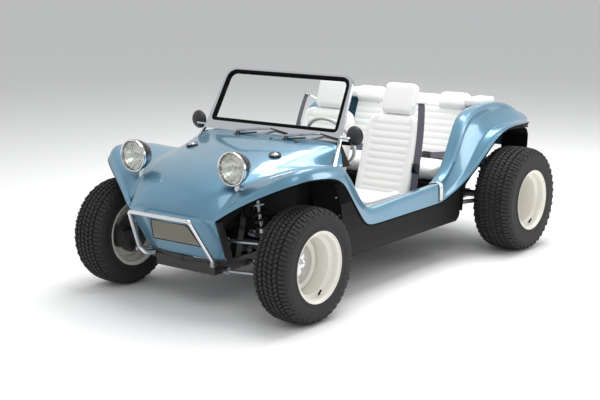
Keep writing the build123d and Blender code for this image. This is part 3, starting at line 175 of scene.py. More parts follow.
def wall(piece, thickness, offset=-1):
    """Gives a sheet its thickness in metres."""
    modify(
        piece, "SOLIDIFY", thickness=thickness, offset=offset, use_even_offset=True, use_quality_normals=True
    )


def mirror(piece):
    """Adds the other side of the car."""
    modify(piece, "MIRROR", use_axis=(True, False, False), use_mirror_merge=True, merge_threshold=SEAM)


def join(name, pieces):
    """Makes several meshes one."""
    deselect()
    for piece in pieces:
        piece.select_set(True)
    bpy.context.view_layer.objects.active = pieces[0]
    if len(pieces) > 1:
        bpy.ops.object.join()
    return named(name)


def along(centre, way):
    """A frame in metres whose Z axis points along a way from a centre in millimetres."""
    turn = Vector(way).to_track_quat("Z", "Y").to_matrix().to_4x4()
    return Matrix.Translation(Vector(centre) * MM) @ turn


def lay_grid(name, rows):
    """A grid laid on rows of points in millimetres."""
    deselect()
    bpy.ops.mesh.primitive_grid_add(x_subdivisions=len(rows[0]) - 1, y_subdivisions=len(rows) - 1)
    piece = named(name)
    points = [point for row in rows for point in row]
    for vertex, point in zip(piece.data.vertices, points):
        vertex.co = Vector(point) * MM
    return piece


def crease_layer(piece):
    """The sharpness of a new piece's edges."""
    return piece.data.attributes.new("crease_edge", "FLOAT", "EDGE")


def crease(piece, columns, values):
    """Sharpens the edges that run along some columns of a grid, each by its own value."""
    layer = crease_layer(piece)
    for edge in piece.data.edges:
        first, second = (index % columns for index in edge.vertices)
        if first == second and first in values:
            layer.data[edge.index].value = values[first]


def drop_faces(piece, chosen):
    """Deletes the faces whose middle, in millimetres, is chosen."""
    pick(piece)
    bpy.ops.object.mode_set(mode="EDIT")
    bpy.ops.mesh.select_mode(type="FACE")
    bpy.ops.mesh.select_all(action="DESELECT")
    bpy.ops.object.mode_set(mode="OBJECT")
    for face in piece.data.polygons:
        face.select = chosen(face.center / MM)
    bpy.ops.object.mode_set(mode="EDIT")
    bpy.ops.mesh.delete(type="FACE")
    bpy.ops.mesh.select_mode(type="VERT")
    bpy.ops.object.mode_set(mode="OBJECT")


def turned(name, profile, place, steps=64):
    """A closed profile of (along, radius) points in millimetres, spun about the Z axis of a frame."""
    deselect()
    bpy.ops.mesh.primitive_circle_add(vertices=len(profile), fill_type="NOTHING")
    piece = named(name)
    for vertex, (reach, radius) in zip(piece.data.vertices, profile):
        vertex.co = (radius * MM, 0, reach * MM)
    edit_all(piece)
    bpy.ops.mesh.spin(steps=steps, angle=math.tau, center=(0, 0, 0), axis=(0, 0, 1))
    bpy.ops.object.mode_set(mode="OBJECT")
    merge(piece)
    piece.data.transform(place)
    return piece


def dome(height, radius, base, count=8):
    """Points of a dome from its pole to its rim, as (along, radius)."""
    sphere = (radius**2 + height**2) / (2 * height)
    top = math.asin(min(1, radius / sphere))
    points = []
    for i in range(count + 1):
        turn = top * i / count
        points.append((base + height - sphere * (1 - math.cos(turn)), sphere * math.sin(turn)))
    return points


def tube(name, points, radius, order=0, closed=False, sides=5):
    """A round bar through points in millimetres: straight runs, or a smooth line of the given order."""
    deselect()
    bpy.ops.curve.primitive_nurbs_path_add()
    piece = named(name)
    piece.data.splines.clear()
    spline = piece.data.splines.new("NURBS" if order else "POLY")
    spline.points.add(len(points) - 1)
    for knot, point in zip(spline.points, points):
        knot.co = (*(Vector(point) * MM), 1)
    spline.use_cyclic_u = closed
    if order:
        spline.order_u = order
        spline.use_endpoint_u = not closed
        spline.resolution_u = 8
    piece.data.dimensions = "3D"
    piece.data.bevel_depth = radius
    piece.data.bevel_resolution = sides
    piece.data.use_fill_caps = not closed
    piece.location = (0, 0, 0)
    bpy.ops.object.convert(target="MESH")
    piece = named(name)
    merge(piece)
    return piece


def bar(name, start, end, width, depth, up=UP, round_edge=0.0012):
    """A flat bar between two points in millimetres."""
    deselect()
    bpy.ops.mesh.primitive_cube_add(size=1)
    piece = named(name)
    first, last = Vector(start), Vector(end)
    run = last - first
    side = run.cross(Vector(up)).normalized()
    rise = side.cross(run).normalized()
    for vertex in piece.data.vertices:
        x, y, z = vertex.co
        vertex.co = (first + run * (x + 0.5) + side * y * width + rise * z * depth) * MM
    modify(piece, "BEVEL", width=round_edge, segments=2)
    merge(piece)
    return piece


def finish(piece, material, body="body", replaces=(), angle=35):
    """Gives a piece its finish and its body, and hides the nodes that it stands for."""
    piece.data.materials.clear()
    piece.data.materials.append(material())
    pick(piece)
    bpy.ops.object.shade_smooth_by_angle(angle=math.radians(angle))
    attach(piece, body)
    if replaces:
        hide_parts(*replaces)
    return piece


def sided(side, point):
    """A point or a way of the left side, on either side."""
    return Vector((side * point[0], point[1], point[2]))


def both(points):
    """Points of the left side and their mirror images."""
    return [[sided(side, point) for point in points] for side in SIDES]


# Finishes


def add_node(tree, kind, inputs=None, **settings):
    """Adds a node with its settings, values and links."""
    node = tree.nodes.new(kind)
    for key, value in settings.items():
        setattr(node, key, value)
    for socket, value in (inputs or {}).items():
        if isinstance(value, bpy.types.NodeSocket):
            tree.links.new(value, node.inputs[socket])
        else:
            node.inputs[socket].default_value = value
    return node


def made(name, values):
    """A material with these values on its shader."""
    material = bpy.data.materials.new(name)
    material.use_nodes = True
    shader = material.node_tree.nodes["Principled BSDF"]
    for socket, value in values.items():
        shader.inputs[socket].default_value = value
    return material, material.node_tree, shader


# Strength of a relief on its shader
RELIEF = 0.6


def grain(tree, shader, size, depth, detail=2.0, kind="ShaderNodeTexNoise", output="Fac"):
    """Relief of a grain size and depth in millimetres; returns its height."""
    place = add_node(tree, "ShaderNodeTexCoord").outputs["Object"]
    values = {"Vector": place, "Scale": 1 / (size * MM)}
    if kind == "ShaderNodeTexNoise":
        values["Detail"] = detail
    height = add_node(tree, kind, values).outputs[output]
    bump = add_node(tree, "ShaderNodeBump", {"Height": height, "Strength": RELIEF, "Distance": depth * MM})
    tree.links.new(bump.outputs["Normal"], shader.inputs["Normal"])
    return height


def vary(tree, shader, height, colour, darker, rough):
    """Colour and roughness that follow a pattern's height."""
    shade = tuple(channel * darker for channel in colour)
    mix = add_node(tree, "ShaderNodeMixRGB", {"Fac": height, "Color1": (*shade, 1), "Color2": (*colour, 1)})
    tree.links.new(mix.outputs["Color"], shader.inputs["Base Color"])
    spread = add_node(tree, "ShaderNodeMapRange", {"Value": height, "To Min": rough[0], "To Max": rough[1]})
    tree.links.new(spread.outputs["Result"], shader.inputs["Roughness"])


# Length of a band pattern's wave at a scale of 1
WAVE_LENGTH = 0.314
# A pattern of cells in place of clouds
CELLS = {"kind": "ShaderNodeTexVoronoi", "output": "Distance"}


def patterned(name, values, size, depth, colour, darker, rough, **pattern):
    """A material whose relief, colour and roughness follow one pattern."""
    material, tree, shader = made(name, values)
    vary(tree, shader, grain(tree, shader, size, depth, **pattern), colour, darker, rough)
    return material


def once(maker):
    """Makes a material under its maker's name the first time it is asked for."""

    def get():
        return bpy.data.materials.get(maker.__name__) or maker(maker.__name__)

    return get


@once
def lacquered_metallic_paint(name):
    # Metallic base coat under clear lacquer: a soft sheen with fine sparkle, and a sharp reflection on top.
    # Real flakes are under 0.1 mm; they are drawn 2 mm wide so that they show.
    values = {"Metallic": 0.55, "Coat Weight": 1.0, "Coat Roughness": 0.06, "Coat IOR": 1.5, "IOR": 1.5}
    material, tree, shader = made(name, values)
    place = add_node(tree, "ShaderNodeTexCoord").outputs["Object"]
    flake = add_node(tree, "ShaderNodeTexVoronoi", {"Vector": place, "Scale": 1 / (2 * MM)})
    vary(tree, shader, flake.outputs["Distance"], colours().paint, 0.86, (0.3, 0.42))
    swell = add_node(tree, "ShaderNodeTexNoise", {"Vector": place, "Scale": 1 / (9 * MM), "Detail": 1.0})
    peel = {"Height": swell.outputs["Fac"], "Strength": 0.05, "Distance": 0.4 * MM}
    bump = add_node(tree, "ShaderNodeBump", peel)
    tree.links.new(bump.outputs["Normal"], shader.inputs["Coat Normal"])
    return material


@once
def grained_black_plastic(name):
    # Moulded ABS with a leather-like grain: matte, a little paler on the grain's tops.
    # The real grain is about 1.5 mm wide; it is drawn 2.5 mm wide so that it shows.
    values = {"IOR": 1.5, "Specular IOR Level": 0.2}
    return patterned(name, values, 2.5, 0.25, colours().black, 0.75, (0.45, 0.62))


@once
def moulded_tyre_rubber(name):
    # Vulcanised rubber, matte and faintly dusty, with a mould texture of about 2 mm, drawn 3 mm wide to show.
    values = {"IOR": 1.52, "Specular IOR Level": 0.3}
    return patterned(name, values, 3.0, 0.2, colours().rubber, 0.7, (0.6, 0.8), detail=4.0)


@once
def stoved_enamel(name):
    # Ivory stoved enamel on pressed steel: glossy with slight orange peel about 6 mm wide.
    values = {"IOR": 1.5, "Coat Weight": 0.4, "Coat Roughness": 0.08}
    return patterned(name, values, 6.0, 0.06, colours().enamel, 0.96, (0.24, 0.32))


@once
def chrome_plate(name):
    # Bright chrome over nickel: a mirror with the faintest polishing haze in patches of about 30 mm.
    return patterned(name, {"Metallic": 1.0}, 30.0, 0.02, linear("#dcdde0"), 0.97, (0.03, 0.08))


@once
def polished_aluminium(name):
    # Polished extrusion: bright, with a fine polishing grain that softens its reflections.
    # The real grain is under 0.5 mm; it is drawn 1.5 mm wide so that it shows.
    return patterned(name, {"Metallic": 1.0}, 1.5, 0.02, linear("#bfc1c5"), 0.9, (0.14, 0.24), detail=3.0)


@once
def zinc_plated_steel(name):
    # Zinc plate with its spangle of about 6 mm, satin and slightly uneven.
    return patterned(name, {"Metallic": 1.0}, 6.0, 0.05, linear("#b9bcc0"), 0.85, (0.28, 0.42), **CELLS)


@once
def sand_cast_iron(name):
    # Sand-cast iron: dark and pitted at about 2 mm.
    return patterned(name, {"Metallic": 0.9}, 2.0, 0.3, linear("#77777a"), 0.6, (0.4, 0.6), detail=4.0)


@once
def cast_aluminium(name):
    # Die-cast aluminium, matte grey with a sandy skin of about 2 mm.
    return patterned(name, {"Metallic": 0.9}, 2.0, 0.2, linear("#9fa2a4"), 0.75, (0.42, 0.58), detail=4.0)


@once
def satin_black_paint(name):
    # Sprayed satin black on steel, with a soft orange peel of about 4 mm.
    return patterned(name, {"IOR": 1.5}, 4.0, 0.08, linear("#161618"), 0.8, (0.3, 0.42))


@once
def gloss_black_plastic(name):
    # Injection-moulded gloss black shell with the slightest ripple, about 20 mm wide.
    values = {"IOR": 1.5, "Coat Weight": 0.5, "Coat Roughness": 0.03}
    return patterned(name, values, 20.0, 0.03, linear("#0e0e10"), 0.85, (0.12, 0.2))


@once
def satin_black_plastic(name):
    # Moulded shell with a fine even spark grain of about 1 mm, drawn 1.5 mm wide: dark grey, soft highlights.
    return patterned(name, {"IOR": 1.5}, 1.5, 0.06, linear("#2a2b2d"), 0.85, (0.42, 0.55), detail=3.0)


@once
def extruded_rubber(name):
    # Extruded rubber section: dull black with a fine bloom in specks of about 2 mm.
    values = {"IOR": 1.52, "Specular IOR Level": 0.06}
    return patterned(name, values, 2.0, 0.08, linear("#0b0b0c"), 0.8, (0.5, 0.65), detail=3.0)


@once
def float_glass(name):
    # Toughened float glass: clear, a trace of green, with soft rolling waves about 180 mm apart.
    values = {"Base Color": (*linear("#fbfdfc"), 1), "Transmission Weight": 1.0, "IOR": 1.1, "Roughness": 0.0}
    material, tree, shader = made(name, values)
    grain(tree, shader, 180.0, 0.01, 0.0)
    return material


@once
def pressed_lens_glass(name):
    # Pressed lamp glass: clear, its surface slightly wavy from the mould at about 12 mm.
    values = {"Transmission Weight": 1.0, "IOR": 1.45, "Roughness": 0.02}
    material, tree, shader = made(name, {"Base Color": (*linear("#f4f7f8"), 1), **values})
    grain(tree, shader, 12.0, 0.08, 1.0)
    return material


@once
def aluminised_reflector(name):
    # Vapour-coated bowl: a bright mirror, a little milky, uneven at about 10 mm.
    return patterned(name, {"Metallic": 1.0}, 10.0, 0.05, linear("#f3efe0"), 0.95, (0.12, 0.2))


@once
def grained_vinyl(name):
    # White upholstery vinyl with pressed leather grain: cells with fine valleys, a soft sheen.
    # The real cells are about 2 mm wide; they are drawn 4 mm wide so that they show.
    values = {"IOR": 1.48, "Coat Weight": 0.12, "Coat Roughness": 0.35}
    return patterned(name, values, 4.0, 0.25, colours().vinyl, 1.06, (0.42, 0.52), **CELLS)


@once
def woven_webbing(name):
    # Polyester webbing with a soft sheen: ribs across the strap 2 mm apart, drawn 3 mm apart to show.
    material, tree, shader = made(name, {"IOR": 1.45, "Sheen Weight": 0.3, "Sheen Roughness": 0.4})
    place = add_node(tree, "ShaderNodeTexCoord").outputs["Object"]
    spacing = {"Vector": place, "Scale": WAVE_LENGTH / (3 * MM), "Distortion": 0.4}
    ribs = add_node(tree, "ShaderNodeTexWave", spacing, wave_type="BANDS", bands_direction="Z")
    weave = {"Height": ribs.outputs["Fac"], "Strength": 0.5, "Distance": 0.4 * MM}
    bump = add_node(tree, "ShaderNodeBump", weave)
    tree.links.new(bump.outputs["Normal"], shader.inputs["Normal"])
    vary(tree, shader, ribs.outputs["Fac"], colours().webbing, 0.7, (0.6, 0.75))
    return material


@once
def woven_wire(name):
    # Woven steel wire with a dull taupe wash, uneven at about 3 mm.
    return patterned(name, {"Metallic": 0.5}, 3.0, 0.05, colours().mesh, 0.8, (0.4, 0.55))


@once
def white_moulding(name):
    # Moulded white rim, glossy with hand-worn patches about 40 mm wide.
    values = {"IOR": 1.5, "Coat Weight": 0.3, "Coat Roughness": 0.1}
    return patterned(name, values, 40.0, 0.03, linear("#ebeae4"), 0.94, (0.25, 0.4))


@once
def moulded_red_lens(name):
    # Moulded red acrylic with fine prisms about 5 mm wide.
    values = {"IOR": 1.49, "Coat Weight": 1.0, "Coat Roughness": 0.03}
    return patterned(name, values, 5.0, 0.4, colours().lens, 0.6, (0.1, 0.2), **CELLS)


# Body: cage points of the left half in millimetres

# Columns: centre, middle, shoulder, side, valley, then over the fender: flank, crown, brow, lip
FRONT_ROWS = (
    ((0, -1536, 587), (120, -1533, 587), (225, -1522, 587), (290, -1507, 587), (338, -1491, 587),
     (341, -1489, 588), (344, -1488, 590), (346, -1487, 588), (347, -1487, 585)),
    ((0, -1533, 665), (130, -1528, 664), (245, -1508, 657), (308, -1478, 652), (354, -1438, 652),
     (385, -1430, 664), (410, -1436, 676), (424, -1442, 668), (430, -1446, 646)),
    ((0, -1492, 748), (150, -1486, 744), (285, -1455, 728), (338, -1413, 724), (372, -1376, 726),
     (455, -1376, 738), (520, -1372, 760), (536, -1380, 745), (544, -1386, 714)),
    ((0, -1365, 806), (175, -1362, 801), (330, -1345, 778), (372, -1326, 768), (398, -1308, 770),
     (545, -1305, 798), (664, -1298, 838), (688, -1302, 818), (698, -1305, 784)),
    ((0, -1240, 842), (180, -1238, 838), (358, -1228, 818), (405, -1222, 795), (446, -1222, 790),
     (590, -1228, 835), (722, -1234, 873), (752, -1238, 850), (764, -1240, 812)),
    ((0, -1160, 860), (190, -1158, 857), (378, -1152, 836), (425, -1150, 816), (468, -1150, 812),
     (605, -1155, 848), (740, -1160, 886), (768, -1160, 862), (776, -1160, 818)),
    ((0, -940, 902), (210, -940, 898), (424, -935, 872), (470, -932, 846), (514, -935, 830),
     (630, -948, 846), (738, -962, 868), (764, -974, 842), (772, -986, 800)),
    ((0, -840, 915), (225, -840, 912), (450, -830, 888), (500, -825, 856), (540, -830, 826),
     (638, -850, 838), (734, -872, 852), (757, -890, 820), (764, -905, 776)),
    ((0, -740, 926), (240, -740, 924), (490, -735, 908), (534, -730, 872), (562, -735, 818),
     (648, -757, 822), (726, -782, 828), (745, -806, 790), (752, -832, 744)),
    ((0, -592, 940), (265, -592, 940), (528, -592, 936), (564, -600, 892), (580, -614, 800),
     (655, -652, 712), (706, -664, 704), (724, -694, 668), (734, -724, 626)),
)
VALLEY = 4
# Sharpness of the edges along some columns
FRONT_CREASES = {VALLEY: 0.6, 6: 0.4, 8: 1.0}
SILL_CREASES = {0: 0.7, 2: 0.7, 4: 1.0}
QUARTER_CREASES = {1: 0.5, 3: 0.5, 4: 0.75, 5: 0.75, 7: 0.7, 8: 0.7, 9: 1.0}
# Sill rows behind the fender: inner edge, crown, lip
SILL_ROWS = (
    ((600, -548, 580), (694, -560, 572), (714, -610, 510)),
    ((600, -480, 532), (690, -488, 534), (702, -528, 430)),
    ((600, -400, 522), (687, -400, 536), (697, -400, 424)),
    ((600, -200, 528), (686, -200, 544), (693, -200, 424)),
    ((600, 322, 546), (686, 322, 564), (691, 322, 428)),
)
SILL_FOOT_Z = 252
NOSE_FOOT = (-1404, 325)
NOSE_EDGE = (338, 300)
NOSE_SWEEP = 43
NOSE_CURL = 2.6
NOSE_RETURN = 22
# Nose panel rows: height, then half widths of the opening's edge, its border and the side
NOSE_ROWS = (
    (568, 132, 205, 284),
    (541, 142, 178, 268),
    (407, 196, 214, 262),
    (390, 190, 216, 260),
    (325, 110, 200, 255),
)
# Opening: top and foot, half width that holds its faces, half width and sharpness of its rim
NOSE_OPEN = (541, 407)
NOSE_OPEN_HALF = 120
NOSE_RIM_HALF = 199
NOSE_RIM_CREASE = 0.8
# Rear quarter rows: inner edge, crown, lip, depth of the hollow face
QUARTER_ROWS = (
    ((600, 322, 546), (686, 322, 564), (691, 322, 428), 0),
    ((600, 425, 594), (682, 425, 598), (697, 425, 446), 6),
    ((592, 530, 708), (680, 520, 706), (718, 640, 532), 10),
    ((580, 640, 880), (670, 628, 876), (742, 830, 682), 38),
    ((560, 740, 968), (652, 725, 970), (764, 965, 804), 50),
    ((540, 930, 996), (632, 925, 1004), (780, 1090, 846), 54),
    ((526, 1190, 1004), (614, 1190, 1012), (786, 1235, 850), 44),
    ((516, 1430, 960), (604, 1415, 968), (762, 1395, 842), 12),
    ((508, 1588, 880), (594, 1570, 888), (690, 1545, 824), -22),
)
# Face of a quarter section: share of the way from crown to lip, share of the hollow's depth
QUARTER_FACE = ((0.1, 0.1), (0.2, 0.85), (0.45, 1.0), (0.72, 0.85), (0.88, 0.05))
# Behind this Y a quarter's foot hangs by this drop below its inner edge
QUARTER_FOOT_Y = 450
QUARTER_FOOT_DROP = 180
LIP_TURN = (-17, 0, 3)
BODY_LEVELS = 3


def mix(first, second, share, shift=(0, 0, 0)):
    """A point between two others, moved by a shift."""
    return tuple(a + (b - a) * share + s for a, b, s in zip(first, second, shift))


def turn_in(lip):
    """The edge of a lip's turned-in flange."""
    return tuple(a + b for a, b in zip(lip, LIP_TURN))


def sill_row(inner, crown, lip):
    """Valley, flank, crown, brow, lip and flange of a sill section."""
    brow = mix(crown, lip, 0.45, (5, 0, 2))
    return [inner, mix(inner, crown, 0.5, (0, 0, 4)), crown, brow, lip, turn_in(lip)]


def nose_point(x, z):
    """A point on the raked nose panel."""
    share = (FRONT_ROWS[0][0][2] - z) / (FRONT_ROWS[0][0][2] - NOSE_FOOT[1])
    y = FRONT_ROWS[0][0][1] + (NOSE_FOOT[0] - FRONT_ROWS[0][0][1]) * share
    edge = NOSE_EDGE[0] + (NOSE_EDGE[1] - NOSE_EDGE[0]) * share
    return (x, y + NOSE_SWEEP * (x / edge) ** NOSE_CURL, z), edge


def quarter_row(inner, crown, lip, hollow):
    """Points of a quarter section: foot, roll, step, hollow face, lip band and flange."""
    run = Vector(lip) - Vector(crown)
    out = Vector((-run.z, 0, run.x)).normalized()
    face = [mix(crown, lip, share, -out * hollow * depth) for share, depth in QUARTER_FACE]
    return [inner, mix(inner, crown, 0.5, (0, 0, 9)), crown, *face, lip, turn_in(lip)]


def paint_shell(piece, gap, nodes):
    """Mirrors a half shell, rounds it, gives it its wall and paints it."""
    mirror(piece)
    merge(piece, gap)
    smooth(piece, BODY_LEVELS)
    wall(piece, sizes().skin)
    finish(piece, lacquered_metallic_paint, replaces=nodes, angle=50)


class BUGGY_OT_front_body(bpy.types.Operator):
    """Model the hood, the nose panel, the front fenders and the sills as one painted shell"""

    bl_idname = "buggy.front_body"
    bl_label = "Front body"

    def execute(self, context):
        rows = [[*row, turn_in(row[-1])] for row in FRONT_ROWS]
        upper = lay_grid("upper", rows)
        crease(upper, len(rows[0]), FRONT_CREASES)
        sills = [rows[-1][VALLEY:]] + [sill_row(*row) for row in SILL_ROWS]
        sill = lay_grid("sill", sills)
        crease(sill, len(sills[0]), SILL_CREASES)
        inner = lay_grid("inner", [[(x, y, z), (x + 1, y, SILL_FOOT_Z)] for (x, y, z), *_ in sills[1:]])
        low = [list(FRONT_ROWS[0][: VALLEY + 1])]
        for z, *half_widths in NOSE_ROWS:
            side_x = nose_point(0, z)[1]
            low.append([nose_point(x, z)[0] for x in (0, *half_widths, side_x)])
        low.append([(x, y + NOSE_RETURN, z) for x, y, z in low[-1]])
        nose = lay_grid("nose", low)
        drop_faces(nose, lambda middle: NOSE_OPEN[1] < middle.z < NOSE_OPEN[0] and middle.x < NOSE_OPEN_HALF)
        layer = crease_layer(nose)
        for edge in nose.data.edges:
            ends = [nose.data.vertices[i].co / MM for i in edge.vertices]
            if all(NOSE_OPEN[1] - 1 <= p.z <= NOSE_OPEN[0] + 1 and p.x < NOSE_RIM_HALF for p in ends):
                layer.data[edge.index].value = NOSE_RIM_CREASE
        body = join("front_body", [upper, sill, inner, nose])
        merge(body, SEAM)
        paint_shell(body, SEAM, ("hood", "front_fenders"))
        return {"FINISHED"}


class BUGGY_OT_rear_body(bpy.types.Operator):
    """Model the rear quarters as painted shells"""

    bl_idname = "buggy.rear_body"
    bl_label = "Rear body"

    def execute(self, context):
        rows = []
        for inner, crown, lip, hollow in QUARTER_ROWS:
            foot_z = SILL_FOOT_Z
            if inner[1] > QUARTER_FOOT_Y:
                foot_z = max(SILL_FOOT_Z, inner[2] - QUARTER_FOOT_DROP)
            rows.append([(inner[0] + 1, inner[1], foot_z), *quarter_row(inner, crown, lip, hollow)])
        quarters = lay_grid("rear_quarter_shells", rows)
        crease(quarters, len(rows[0]), QUARTER_CREASES)
        paint_shell(quarters, WELD, ("rear_quarters",))
        return {"FINISHED"}


# Liner edge and fender edge of the black closing strips
FRONT_ARCH = (
    ((684, -838, 735), (748, -836, 748)), ((684, -768, 600), (730, -726, 626)),
    ((684, -752, 480), (708, -612, 508)), ((684, -750, 380), (698, -528, 428)),
    ((684, -748, 262), (690, -500, 400)),
)
REAR_ARCH = (
    ((684, 640, 478), (712, 640, 534)), ((684, 800, 648), (735, 832, 684)),
    ((684, 935, 774), (757, 967, 806)), ((684, 1080, 813), (772, 1090, 846)),
    ((684, 1235, 813), (778, 1235, 850)), ((684, 1395, 808), (754, 1395, 842)),
    ((684, 1545, 790), (686, 1545, 822)),
)
# Strip that closes the roof of the front arch
ARCH_ROOF = (
    ((456, -838, 735), (570, -838, 735), (690, -838, 735), (748, -836, 748)),
    ((456, -862, 806), (570, -862, 806), (680, -870, 806), (738, -892, 788)),
)
# Black skin under the front fender, by column: how far it lies under valley, flank, crown, brow and lip
SKIN_UNDER = ((6, 0, 12), (2, 0, 24), (18, 0, 40), (32, 0, 20), (16, 0, 0))
# Its foot hangs below the valley at the front end, then stands upright: further in up to the bay's end
SKIN_DROP = (20, 0, 150)
SKIN_UPRIGHT_X = 440
SKIN_BAY_END = -1100
SKIN_BAY_X = 318
SKIN_FOOT_X = 456
SKIN_FOOT_Z = 560
SKIN_KNEE = 30
SHEET_WALL = 0.002
# Nose trim: inner edge on the painted panel, outer edge
NOSE_TRIM = (
    ((339, -1489, 580), (345, -1425, 578)), ((327, -1452, 505), (334, -1385, 496)),
    ((312, -1410, 425), (322, -1340, 405)), ((301, -1378, 362), (312, -1300, 335)),
    ((288, -1366, 332), (290, -1296, 298)), ((255, -1370, 326), (255, -1344, 291)),
    ((130, -1394, 326), (130, -1376, 288)), ((0, -1404, 326), (0, -1388, 287)),
)
# Its section: share of the way from inner to outer edge, shift
TRIM_SECTION = (
    (0, (0, 0, 0)), (0.08, (5, -5, -3)), (0.4, (6, -4, -5)), (1, (0, 0, 0)), (0.8, (-14, 16, 8)),
)
TRIM_WALL = 0.004


class BUGGY_OT_black_panels(bpy.types.Operator):
    """Model the black arch closings, inner arch panels and nose trim"""

    bl_idname = "buggy.black_panels"
    bl_label = "Black panels"

    def execute(self, context):
        skin = []
        for row in FRONT_ROWS[1:]:
            points = [Vector(point) for point in row[VALLEY:]]
            valley = points[0]
            foot = valley - Vector(SKIN_DROP)
            if valley.x > SKIN_UPRIGHT_X:
                foot_x = SKIN_FOOT_X if valley.y > SKIN_BAY_END else SKIN_BAY_X
                foot = Vector((foot_x, valley.y, SKIN_FOOT_Z))
            knee = Vector((foot.x, foot.y, valley.z - SKIN_KNEE))
            skin.append([foot, knee, *[point - Vector(shift) for point, shift in zip(points, SKIN_UNDER)]])
        sheets = [lay_grid("arch_skin", skin)]
        for strip in (FRONT_ARCH, REAR_ARCH, ARCH_ROOF):
            sheets.append(lay_grid("arch_strip", [list(pair) for pair in strip]))
        for sheet in sheets:
            mirror(sheet)
            merge(sheet)
            wall(sheet, SHEET_WALL, 0)
        finish(join("arch_closings", sheets), grained_black_plastic)
        rows = []
        for inner, outer in NOSE_TRIM:
            rows.append([mix(inner, outer, share, shift) for share, shift in TRIM_SECTION])
        trim = lay_grid("nose_band", rows)
        mirror(trim)
        merge(trim, SEAM)
        smooth(trim, 2)
        wall(trim, TRIM_WALL)
        finish(trim, satin_black_plastic, replaces=("nose_trim",), angle=50)
        return {"FINISHED"}


HOOD_CAP = (330, -942, 884)
HOOD_CAP_WAY = (0.13, -0.17, 0.97)
# Turned sections, as distances along the axis and radii
HOOD_CAP_RING = ((-6, 38), (6, 38), (10, 35), (10, 27), (4, 25), (-6, 25))
HOOD_CAP_DOME = (*dome(13, 25, 4), (-6, 25), (-6, 0))
WASHER_JETS = ((96, -690, 931), (292, -690, 928))
BAND_Y = (314, 350)
BAND_SECTION = ((606, 552), (634, 560), (662, 566), (688, 563), (697, 536), (698, 490), (695, 446))
# Points of the band's section that take a screw; below this height the band stands upright
BAND_SCREWS = (1, 4, 6)
BAND_SIDE_Z = 540
SCREW_LIFT = 3
LINER_SCREWS = ((668, -800, 650), (672, -764, 540), (662, -755, 320), (664, 1004, 801), (664, 1240, 819))


def small_dome(name, place, radius, height):
    """A round-headed fastener or button."""
    return turned(name, [*dome(height, radius, 0, 5), (-2, radius), (-2, 0)], place, 20)


class BUGGY_OT_trim(bpy.types.Operator):
    """Model the lip edging, hood caps, washer jets, sill bands and screws"""

    bl_idname = "buggy.trim"
    bl_label = "Trim"

    def execute(self, context):
        lips = [row[-1] for row in FRONT_ROWS] + [row[2] for row in SILL_ROWS]
        rear = [row[2] for row in QUARTER_ROWS]
        edging = []
        for line in both(lips) + both(rear):
            edging.append(tube("edging", line, sizes().edging, order=4, sides=3))
        finish(join("lip_edging", edging), extruded_rubber)

        rings, domes, jets, bands, screws = [], [], [], [], []
        for side in SIDES:
            place = along(sided(side, HOOD_CAP), sided(side, HOOD_CAP_WAY))
            rings.append(turned("ring", HOOD_CAP_RING, place, 40))
            domes.append(turned("dome", HOOD_CAP_DOME, place, 40))
            band = lay_grid("band", [[(side * px, py, pz) for py in BAND_Y] for px, pz in BAND_SECTION])
            merge(band)
            if band.data.polygons[0].normal.z < 0:
                band.data.flip_normals()
            smooth(band, 2)
            wall(band, TRIM_WALL, 1)
            bands.append(band)
            for px, pz in (BAND_SECTION[i] for i in BAND_SCREWS):
                at, way = (px, sum(BAND_Y) / 2, pz + SCREW_LIFT), UP
                if pz < BAND_SIDE_Z:
                    at, way = (px + SCREW_LIFT, sum(BAND_Y) / 2, pz), (1, 0, 0.1)
                screws.append(small_dome("screw", along(sided(side, at), sided(side, way)), 6, 3))
            for at in LINER_SCREWS:
                way = (0, -1, 0.25) if at[1] < 0 else (0.2, -0.1, -1)
                screws.append(small_dome("screw", along(sided(side, at), sided(side, way)), 9, 5))
        for at in WASHER_JETS:
            jets.append(small_dome("jet", along(at, (0, -0.1, 1)), 11, 9))
        finish(join("hood_cap_rings", rings), gloss_black_plastic)
        finish(join("hood_cap_domes", domes), chrome_plate)
        finish(join("washer_jets", jets), gloss_black_plastic)
        finish(join("sill_bands", bands), white_moulding)
        finish(join("trim_screws", screws), zinc_plated_steel)
        return {"FINISHED"}


LAMP = (386, -1397, 874)
LENS_RADIUS = 89
LENS_DOME = 17
LENS_SET = 2
LENS_COLUMNS = 88
LENS_ROWS = 24
LENS_WALL = 0.004
FLUTES = 22
FLUTE_DEPTH = 1.6
# Turned sections, as distances along the axis and radii
BOWL = (
    (-118, 0), (-116, 24), (-104, 52), (-82, 75), (-46, 90), (-22, 95), (-8, 96),
    (-8, 91), (-22, 90), (-48, 84), (-86, 70), (-106, 44), (-112, 0),
)
BEZEL = ((-12, 97), (2, 99.5), (8, 98), (11, 94), (8, 89.5), (2, 87.5), (-4, 88), (-4, 92), (-12, 95))
REFLECTOR = [(-82 + 70 * (r / 86) ** 2, r) for r in (0, 14, 28, 42, 56, 70, 86)]
REFLECTOR_SHEET = 3
BULB = (*dome(12, 11, -38, 5), (-66, 11), (-80, 9), (-80, 0))
LAMP_FOOT = ((-20, 17), (4, 17), (12, 13), (42, 12), (42, 0), (-20, 0))
LAMP_FOOT_PLACE = (376, -1338, 752)


